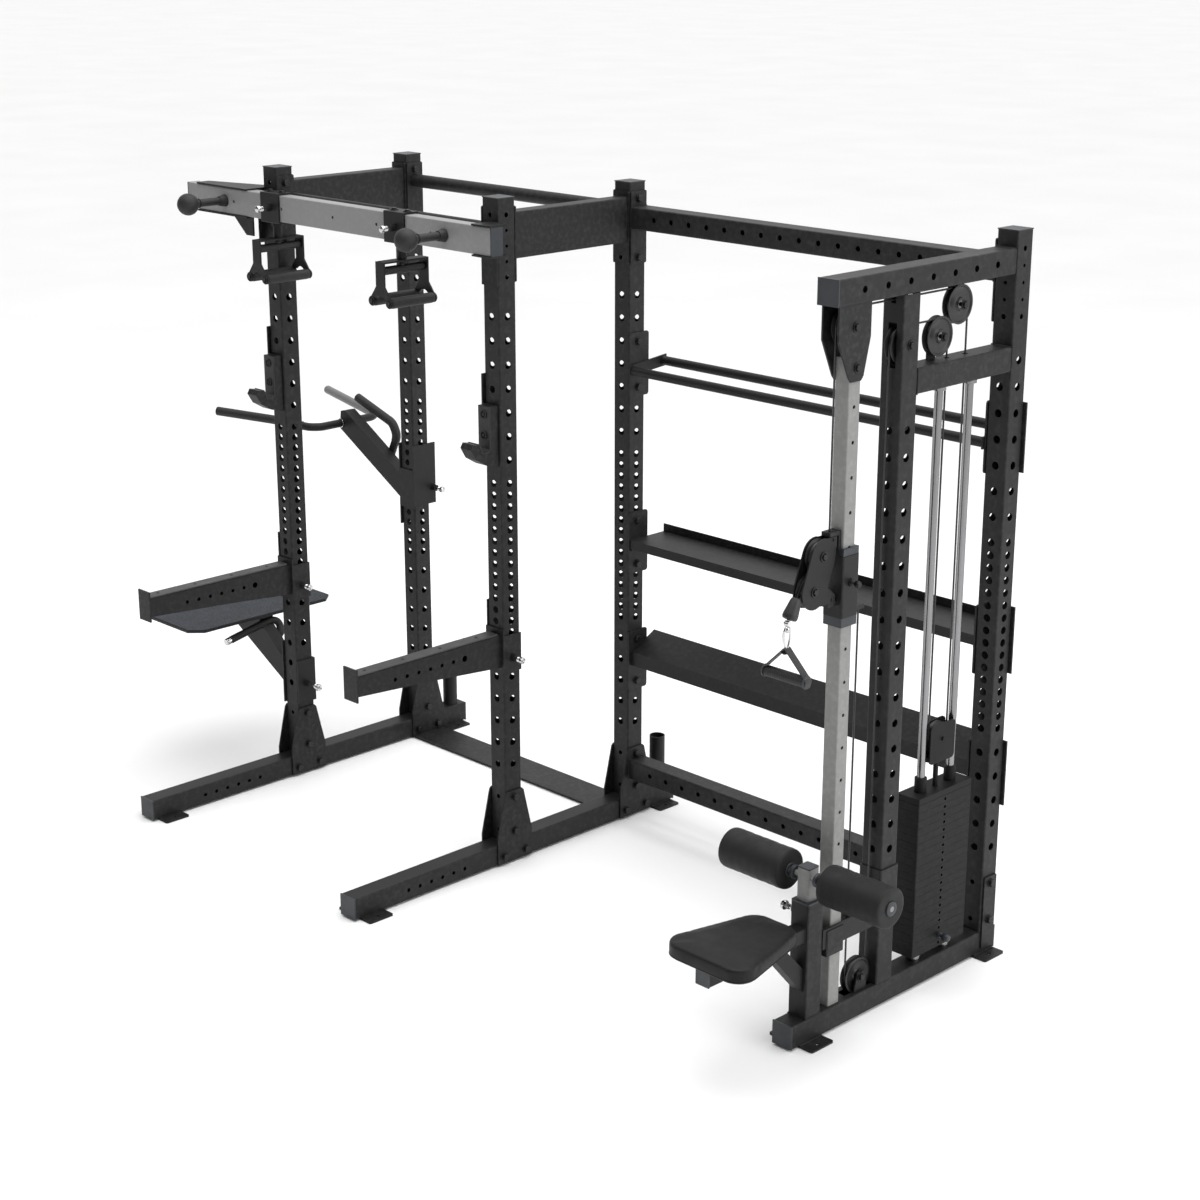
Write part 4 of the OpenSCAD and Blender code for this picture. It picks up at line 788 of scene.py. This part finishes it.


# Step platform: tread sheet and the chromed end of its handle
px0, px1 = XA - 0.5, XA - 0.175
py0, py1 = YF - 0.348, YF + 0.322
tread_outline = [(px0 + 0.037, py0 + 0.004), (px1 - 0.047, py0 + 0.004), (px1 - 0.004, py0 + 0.05),
                 (px1 - 0.004, py1 - 0.05), (px1 - 0.047, py1 - 0.004), (px0 + 0.037, py1 - 0.004),
                 (px0 + 0.004, py1 - 0.04), (px0 + 0.004, py0 + 0.04)]
slab("platform_tread_sheet", tread_outline, (0, 1), 0.5921, 0.5945, "tread", "platform", 0.0008)
slab("platform_under_sheet", tread_outline, (0, 1), 0.5832, 0.5839, "tread", "platform", 0.0002)
step_a = (XA - 0.196, YF + 0.018, 0.56)
step_b = (XA - 0.198, YF - 0.19, 0.516)
handle_corners = [(XA - 0.15, YF + 0.012, 0.482), (XA - 0.163, YF + 0.04, 0.512),
                  (XA - 0.178, YF + 0.05, 0.536), (XA - 0.19, YF + 0.044, 0.552),
                  step_a, lerp(step_a, step_b, 0.9)]
handle_path = rounded_path(handle_corners, 0.025, 8)[1:]
sweep("platform_handle_grip", handle_path, 0.0145, "rubber", "platform", steps=24)
bm = bmesh.new()
way = Vector(step_b) - Vector(step_a)
revolve_into(bm, [(0.0, 0.0), (0.0138, 0.0), (0.0138, 0.018), (0.0128, 0.021), (0.0, 0.0215)],
             lerp(step_a, step_b, 0.91), way, 32)
bmesh.ops.recalc_face_normals(bm, faces=bm.faces)
add("platform_handle_end", bm, "chrome", "platform")


# Strap handle: eye, snap hook with a gate, sewn webbing and a ribbed grip
HY = EYE_Y
GRIP_Z = 1.168
handle_bm = bmesh.new()
eye_profile = [(0.0, -0.008), (0.0072, -0.008), (0.008, -0.007),
               (0.008, 0.007), (0.0072, 0.008), (0.0, 0.008)]
revolve_into(handle_bm, eye_profile, (XE, HY, EYE_Z), (1, 0, 0), 32)
neck_profile = [(0.0, -0.001), (0.0045, 0.0), (0.0075, 0.003),
                (0.0078, 0.012), (0.006, 0.015), (0.0035, 0.017)]
revolve_into(handle_bm, neck_profile, (XE, HY, 1.296), (0, 0, 1), 32)
hook_path = []
for i in range(40):
    a = 2 * math.pi * i / 40
    wide = 0.0125 + 0.0025 * math.cos(a)
    hook_path.append((XE, HY + wide * math.sin(a), 1.286 + 0.033 * math.cos(a) - 0.004))
sweep_into(handle_bm, hook_path, 0.0032, closed=True, steps=14)
gate_path = [(XE, HY - 0.0125, 1.272), (XE, HY - 0.0142, 1.288), (XE, HY - 0.0125, 1.302)]
sweep_into(handle_bm, gate_path, 0.0042, steps=14)
bmesh.ops.recalc_face_normals(handle_bm, faces=handle_bm.faces)
snap_hook = add("snap_hook", handle_bm, "chrome", "handle")
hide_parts("strap_handle")
strap = rounded_path([(XE - 0.0765, HY, GRIP_Z - 0.017), (XE - 0.0815, HY, GRIP_Z + 0.006),
                      (XE - 0.01, HY, 1.243), (XE, HY, 1.2535), (XE + 0.01, HY, 1.243),
                      (XE + 0.0815, HY, GRIP_Z + 0.006), (XE + 0.0765, HY, GRIP_Z - 0.017)], 0.012, 6)
sweep("strap_webbing", strap, 0.0, "web", "handle", flat=(0.026, 0.0032), steps=20)
inner_ply = [(XE - 0.012, HY, 1.2385), (XE, HY, 1.2345), (XE + 0.012, HY, 1.2385)]
sweep("strap_inner_ply", inner_ply, 0.0, "web", "handle", flat=(0.025, 0.0028), steps=20)
grip_sleeve("strap_grip", (XE - 0.074, HY, GRIP_Z), (XE + 0.074, HY, GRIP_Z), 0.0158, "rubber", "handle")
for s in (-1, 1):
    revolve("strap_grip_flange_" + ("left" if s < 0 else "right"),
            [(0.0, -0.002), (0.0178, -0.002), (0.019, -0.0008),
             (0.019, 0.002), (0.0175, 0.0035), (0.0, 0.0035)],
            (XE + s * 0.075, HY, GRIP_Z), (s, 0, 0), "cap", "handle", 40)

# Swivel housing: cover screws and axle nuts
bm = bmesh.new()
for s in (-1, 1):
    for y, z in ((SWIVEL_Y - 0.042, 1.491), (SWIVEL_Y - 0.077, 1.396)):
        hex_bolt_into(bm, (XE + s * 0.018, y, z), (s, 0, 0), 0.009, 0.004)
    for y, z in ((SWIVEL_Y, 1.532), (SWIVEL_Y, 1.357)):
        head = [(0.0048, 0.0), (0.005, 0.002), (0.0042, 0.0032),
                (0.0022, 0.0034), (0.002, 0.002), (0.0, 0.002)]
        revolve_into(bm, head, (XE + s * 0.018, y, z), (s, 0, 0), 20)
bmesh.ops.recalc_face_normals(bm, faces=bm.faces)
add("swivel_screws", bm, "bolt", "swivel")

# Moulded stop ball on the cable's end
stop_way = (0, -0.5, -math.cos(math.radians(30)))
revolve("cable_stop", [(0.0, 0.034), (0.0095, 0.0345), (0.014, 0.037), (0.0165, 0.045), (0.019, 0.062),
                       (0.0222, 0.082), (0.0225, 0.09), (0.0205, 0.0965), (0.0150, 0.0985), (0.0075, 0.099),
                       (0.0, 0.099)],
        (XE, LEAVE_Y, LEAVE_Z), stop_way, "liner", "swivel", 48)
revolve("cable_end_ring", [(0.0, 0.0975), (0.0045, 0.0975), (0.0055, 0.099), (0.0055, 0.103), (0.004, 0.1045),
                           (0.0, 0.1045)],
        (XE, LEAVE_Y, LEAVE_Z), stop_way, "chrome", "swivel", 32)

# Carriage: bushing lips and pin boss collar
for label, z in (("low", 1.2725), ("high", 1.4995)):
    bm = bmesh.new()
    loop = [(XE + 0.0175, YG - 0.0325, z), (XE + 0.0325, YG - 0.0325, z), (XE + 0.0325, YG + 0.0325, z),
            (XE - 0.0325, YG + 0.0325, z), (XE - 0.0325, YG - 0.0325, z), (XE - 0.0175, YG - 0.0325, z)]
    sweep_into(bm, loop, 0.0018, steps=8)
    bmesh.ops.recalc_face_normals(bm, faces=bm.faces)
    add("carriage_bushing_lip_" + label, bm, "cap", "carriage")
for label, z0, z1 in (("low", 1.2708, 1.2988), ("high", 1.4792, 1.5012)):
    outer = 0.0333
    inner = 0.0257
    slit = 0.0165 if label == "high" else 0.0
    bm = bmesh.new()
    walls = ((-outer, -slit, -outer, -inner), (slit, outer, -outer, -inner), (-outer, outer, inner, outer),
             (-outer, -inner, -inner, inner), (inner, outer, -inner, inner))
    for a, b, c, d in walls:
        wall = [(XE + a, YG + c), (XE + b, YG + c), (XE + b, YG + d), (XE + a, YG + d)]
        slab_into(bm, wall, (0, 1), z0, z1)
    bmesh.ops.recalc_face_normals(bm, faces=bm.faces)
    add("carriage_bushing_" + label, bm, "cap", "carriage", smooth=False)


# Foam rollers with rounded shoulders and end caps
def foam_roller(name, node, x0, x1, body):
    n = x1 - x0
    r = 0.0618
    profile = [(0.0105, 0.002), (0.03, 0.0005), (0.05, 0.0),
               (0.0575, 0.0008), (0.0605, 0.003), (0.0615, 0.0065)]
    for i in range(1, 24):
        h = 0.012 + (n - 0.024) * i / 24
        sag = 0.0004 * math.sin(i * 1.7) + 0.0003 * math.sin(i * 0.6)
        profile.append((r + sag, h))
    profile += [(0.0615, n - 0.0065), (0.0605, n - 0.003), (0.0575, n - 0.0008), (0.05, n),
                (0.03, n - 0.0005), (0.0105, n - 0.002), (0.0105, 0.002)]
    o = revolve(name, profile, (x0, ROLLER_Y, FOAM_Z), (1, 0, 0), "foam", body, 96)
    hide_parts(node)
    return o


foam_roller("left_foam_sleeve", "left_foam_roller", XE - 0.295, XE - 0.062, "foam_left")
foam_roller("right_foam_sleeve", "right_foam_roller", XE + 0.084, XE + 0.312, "foam_right")
HUB = [(0.0, 0.0025), (0.006, 0.0035), (0.018, 0.004), (0.0215, 0.0028), (0.0225, 0.0004), (0.0215, 0.0),
       (0.0095, 0.0)]
for side, x, s in (("left", XE - 0.2954, -1), ("right", XE + 0.3124, 1)):
    revolve(side + "_roller_cap", HUB, (x, ROLLER_Y, FOAM_Z), (s, 0, 0), "cap", "foam_" + side, 48)
for side, x, s in (("left", XE - 0.0616, 1), ("right", XE + 0.0836, -1)):
    revolve(side + "_roller_inner_cap", [(0.0094, 0.0)] + HUB[2:], (x, ROLLER_Y, FOAM_Z), (s, 0, 0), "cap",
            "foam_" + side, 48)
    revolve(side + "_roller_collar", [(0.0092, 0.0), (0.019, 0.0), (0.021, 0.002), (0.021, 0.011),
                                      (0.019, 0.013), (0.0092, 0.013), (0.0092, 0.0)],
            (XE - s * 0.038, ROLLER_Y, FOAM_Z), (-s, 0, 0), "cap", "rollers_post", 40)


# Seat pad: stuffed cover made by inflating a closed shell, with piping round its base
def pad_outline(grow, steps=14):
    """Egg-shaped outline: two wide circles in front and two narrow ones behind, joined by tangents."""
    out = []
    front, rear = SLEEVE_Y - 0.401, SLEEVE_Y - 0.181
    lean = math.degrees(math.atan2(0.052, 0.22))
    spots = ((0.092, front, 0.06, -90, lean), (0.04, rear, 0.058, lean, 90),
             (-0.04, rear, 0.058, 90, 180 - lean), (-0.092, front, 0.06, 180 - lean, 270))
    for cx, cy, r, a0, a1 in spots:
        for i in range(steps + 1):
            a = math.radians(a0 + (a1 - a0) * i / steps)
            out.append((XE + cx + (r + grow) * math.cos(a), cy + (r + grow) * math.sin(a)))
    return out


PAD_BASE = SEAT_TOP - 0.0495
pad_shape = pad_outline(-0.0015)
pad_bm = bmesh.new()
slab_into(pad_bm, pad_shape, (0, 1), PAD_BASE, SEAT_TOP - 0.006)
bmesh.ops.recalc_face_normals(pad_bm, faces=pad_bm.faces)
pad = add("seat_cushion", pad_bm, "leather", None, smooth=False)


def inflate(o, rest_z, voxel=0.006, pressure=1.6, frames=18, cap=0.006):
    bpy.context.view_layer.objects.active = o
    remesh = o.modifiers.new("remesh", "REMESH")
    remesh.mode = "VOXEL"
    remesh.voxel_size = voxel
    depsgraph = bpy.context.evaluated_depsgraph_get()
    shell = bpy.data.meshes.new_from_object(o.evaluated_get(depsgraph))
    o.modifiers.clear()
    material = o.data.materials[0]
    o.data = shell
    shell.materials.clear()
    shell.materials.append(material)
    before = [v.co.copy() for v in shell.vertices]
    held = o.vertex_groups.new(name="held")
    held.add([v.index for v in shell.vertices if v.co.z < rest_z + 0.004], 1.0, "REPLACE")
    cloth = o.modifiers.new("cloth", "CLOTH")
    s = cloth.settings
    s.quality = 6
    s.mass = 0.3
    s.tension_stiffness = 60
    s.compression_stiffness = 60
    s.shear_stiffness = 40
    s.bending_stiffness = 8.0
    s.use_pressure = True
    s.uniform_pressure_force = pressure
    s.vertex_group_mass = "held"
    s.effector_weights.gravity = 0.0
    cloth.point_cache.frame_start = 1
    cloth.point_cache.frame_end = frames
    scene = bpy.context.scene
    for f in range(1, frames + 1):
        scene.frame_set(f)
    depsgraph = bpy.context.evaluated_depsgraph_get()
    done = bpy.data.meshes.new_from_object(o.evaluated_get(depsgraph))
    for v, old in zip(done.vertices, before):
        d = v.co - old
        if d.length > cap:
            v.co = old + d.normalized() * cap
        v.co.z = max(v.co.z, rest_z)
    o.modifiers.clear()
    o.data = done
    scene.frame_set(1)


inflate(pad, PAD_BASE)
soften = pad.modifiers.new("soften", "SMOOTH")
soften.factor = 0.6
soften.iterations = 4
pad.modifiers.new("fine", "SUBSURF").levels = 1
pad.modifiers["fine"].render_levels = 1
pad.data.shade_smooth()
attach(pad, "frame")
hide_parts("seat_pad")
welt = [(x, y, SEAT_TOP - 0.0455) for x, y in pad_outline(-0.003, 18)]
sweep("seat_welt", welt, 0.002, "leather", "frame", closed=True, steps=10)
slab("seat_board", pad_outline(-0.008), (0, 1), SEAT_TOP - 0.0527, SEAT_TOP - 0.0498, "cap", "frame", 0.001)

post_cap = corner_outline(XE - 0.0229, XE + 0.0229, SLEEVE_Y - 0.0229, SLEEVE_Y + 0.0229, 0.004)
slab("roller_post_cap", post_cap, (0, 1), 0.5517, 0.5568, "cap", "rollers_post", 0.001)


# Weight stack: hole rims and the selector pin
bm_low = bmesh.new()
bm_top = bmesh.new()
for k in range(20):
    z = 0.112 + (k + 0.5) * 0.0254
    target = bm_top if k >= 1 else bm_low
    revolve_into(target, [(0.0056, -0.001), (0.0056, 0.0003), (0.0068, 0.0003), (0.007, 0.0)],
                 (XE + 0.042, STACK_Y, z), (1, 0, 0), 24)
bmesh.ops.recalc_face_normals(bm_low, faces=bm_low.faces)
bmesh.ops.recalc_face_normals(bm_top, faces=bm_top.faces)
add("stack_hole_rims", bm_low, "bolt", "frame")
add("lifted_hole_rims", bm_top, "bolt", "carrier")
pin_z = 0.112 + 1.5 * 0.0254
selector = revolve("selector_grip", [(0.0, 0.0), (0.0035, 0.0), (0.0045, 0.002), (0.0045, 0.0425),
                                     (0.009, 0.043), (0.009, 0.049), (0.006, 0.0495), (0.006, 0.059),
                                     (0.0105, 0.0595), (0.0125, 0.062), (0.013, 0.068), (0.012, 0.076),
                                     (0.009, 0.081), (0.0, 0.083)],
                   (XE + 0.001, STACK_Y, pin_z), (1, 0, 0), "cap", "selector", 40)
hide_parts("selector_pin")
revolve("selector_shank",
        [(0.0, -0.0002), (0.0036, -0.0002), (0.0046, 0.002), (0.0046, 0.0424), (0.0, 0.0424)],
        (XE + 0.001, STACK_Y, pin_z), (1, 0, 0), "chrome", "selector", 32)


# Ball grips: black powder-coated neck rings
for x in (XA - 0.17, XC - 0.14):
    revolve("ball_neck_" + ("left" if x < XA else "right"),
            [(0.0142, 0.0), (0.0162, 0.0004), (0.017, 0.002), (0.0162, 0.0036), (0.0142, 0.004)],
            (x, RAIL_Y - 0.025 - 0.112, RAIL_MID), (0, -1, 0), "plate", "frame", 40)


# Stage, light and camera
def stage_plane(name, size, z, material):
    bm = bmesh.new()
    bmesh.ops.create_grid(bm, x_segments=1, y_segments=1, size=size)
    mesh = bpy.data.meshes.new(name)
    bm.to_mesh(mesh)
    bm.free()
    o = bpy.data.objects.new(name, mesh)
    o.location = (0, 0, z)
    mesh.materials.append(material)
    bpy.context.collection.objects.link(o)


floor_mat, floor_tree, floor_bsdf, floor_coord = graph("studio_floor")
floor_noise = noise(floor_tree, floor_coord, 0.8, 2.0)
floor_color = ramp(floor_tree, floor_noise, [(0.3, (0.9, 0.9, 0.9)), (0.7, (0.93, 0.93, 0.93))])
floor_tree.links.new(floor_color, floor_bsdf.inputs["Base Color"])
floor_bsdf.inputs["Roughness"].default_value = 0.9
floor_bsdf.inputs["Specular IOR Level"].default_value = 0.1
stage_plane("floor_sweep", 60.0, -0.0005, floor_mat)

scene = bpy.context.scene
world = bpy.data.worlds.new("studio")
scene.world = world
world.use_nodes = True
# The studio is dimmer on its front side, so that front faces are darker than side faces
sky = world.node_tree
sky_way = sky.nodes.new("ShaderNodeTexCoord")
sky_parts = sky.nodes.new("ShaderNodeSeparateXYZ")
sky.links.new(sky_way.outputs["Generated"], sky_parts.inputs["Vector"])
sky_front = span(sky, sky_parts.outputs["Y"], -0.7, 0.15, 0.06, 1.0)
sky_top = span(sky, sky_parts.outputs["Z"], 0.45, 0.75, 0.0, 1.35)
sky_level = sky.nodes.new("ShaderNodeMath")
sky_level.operation = "MAXIMUM"
sky.links.new(sky_front, sky_level.inputs[0])
sky.links.new(sky_top, sky_level.inputs[1])
sky.links.new(sky_level.outputs[0], sky.nodes["Background"].inputs["Strength"])
sky.nodes["Background"].inputs["Color"].default_value = (1.0, 1.0, 1.0, 1.0)


def area(name, place, aim, size, power):
    d = bpy.data.lights.new(name, "AREA")
    d.shape = "RECTANGLE"
    d.size = size[0]
    d.size_y = size[1]
    d.energy = power
    o = bpy.data.objects.new(name, d)
    o.location = place
    o.rotation_euler = (Vector(aim) - Vector(place)).to_track_quat("-Z", "Y").to_euler()
    bpy.context.collection.objects.link(o)


area("key_above", (1.0, 0.5, 7.0), (0.2, 0.0, 0.5), (6.0, 6.0), 260.0)
area("side_fill", (7.0, 1.5, 3.5), (0.3, 0.0, 1.0), (4.0, 4.0), 140.0)

camera_data = bpy.data.cameras.new("photo_view")
camera_data.sensor_width = 36.0
camera_data.lens = 67.53
camera_data.shift_y = 0.0129
camera_data.clip_end = 200.0
camera = bpy.data.objects.new("photo_view", camera_data)
camera.location = (5.445 + XC, -4.8725 + YF, 3.244)
camera.rotation_euler = (math.radians(90 - 17.82), math.radians(-0.0), math.radians(45.61))
bpy.context.collection.objects.link(camera)
scene.camera = camera
scene.view_settings.view_transform = "Standard"
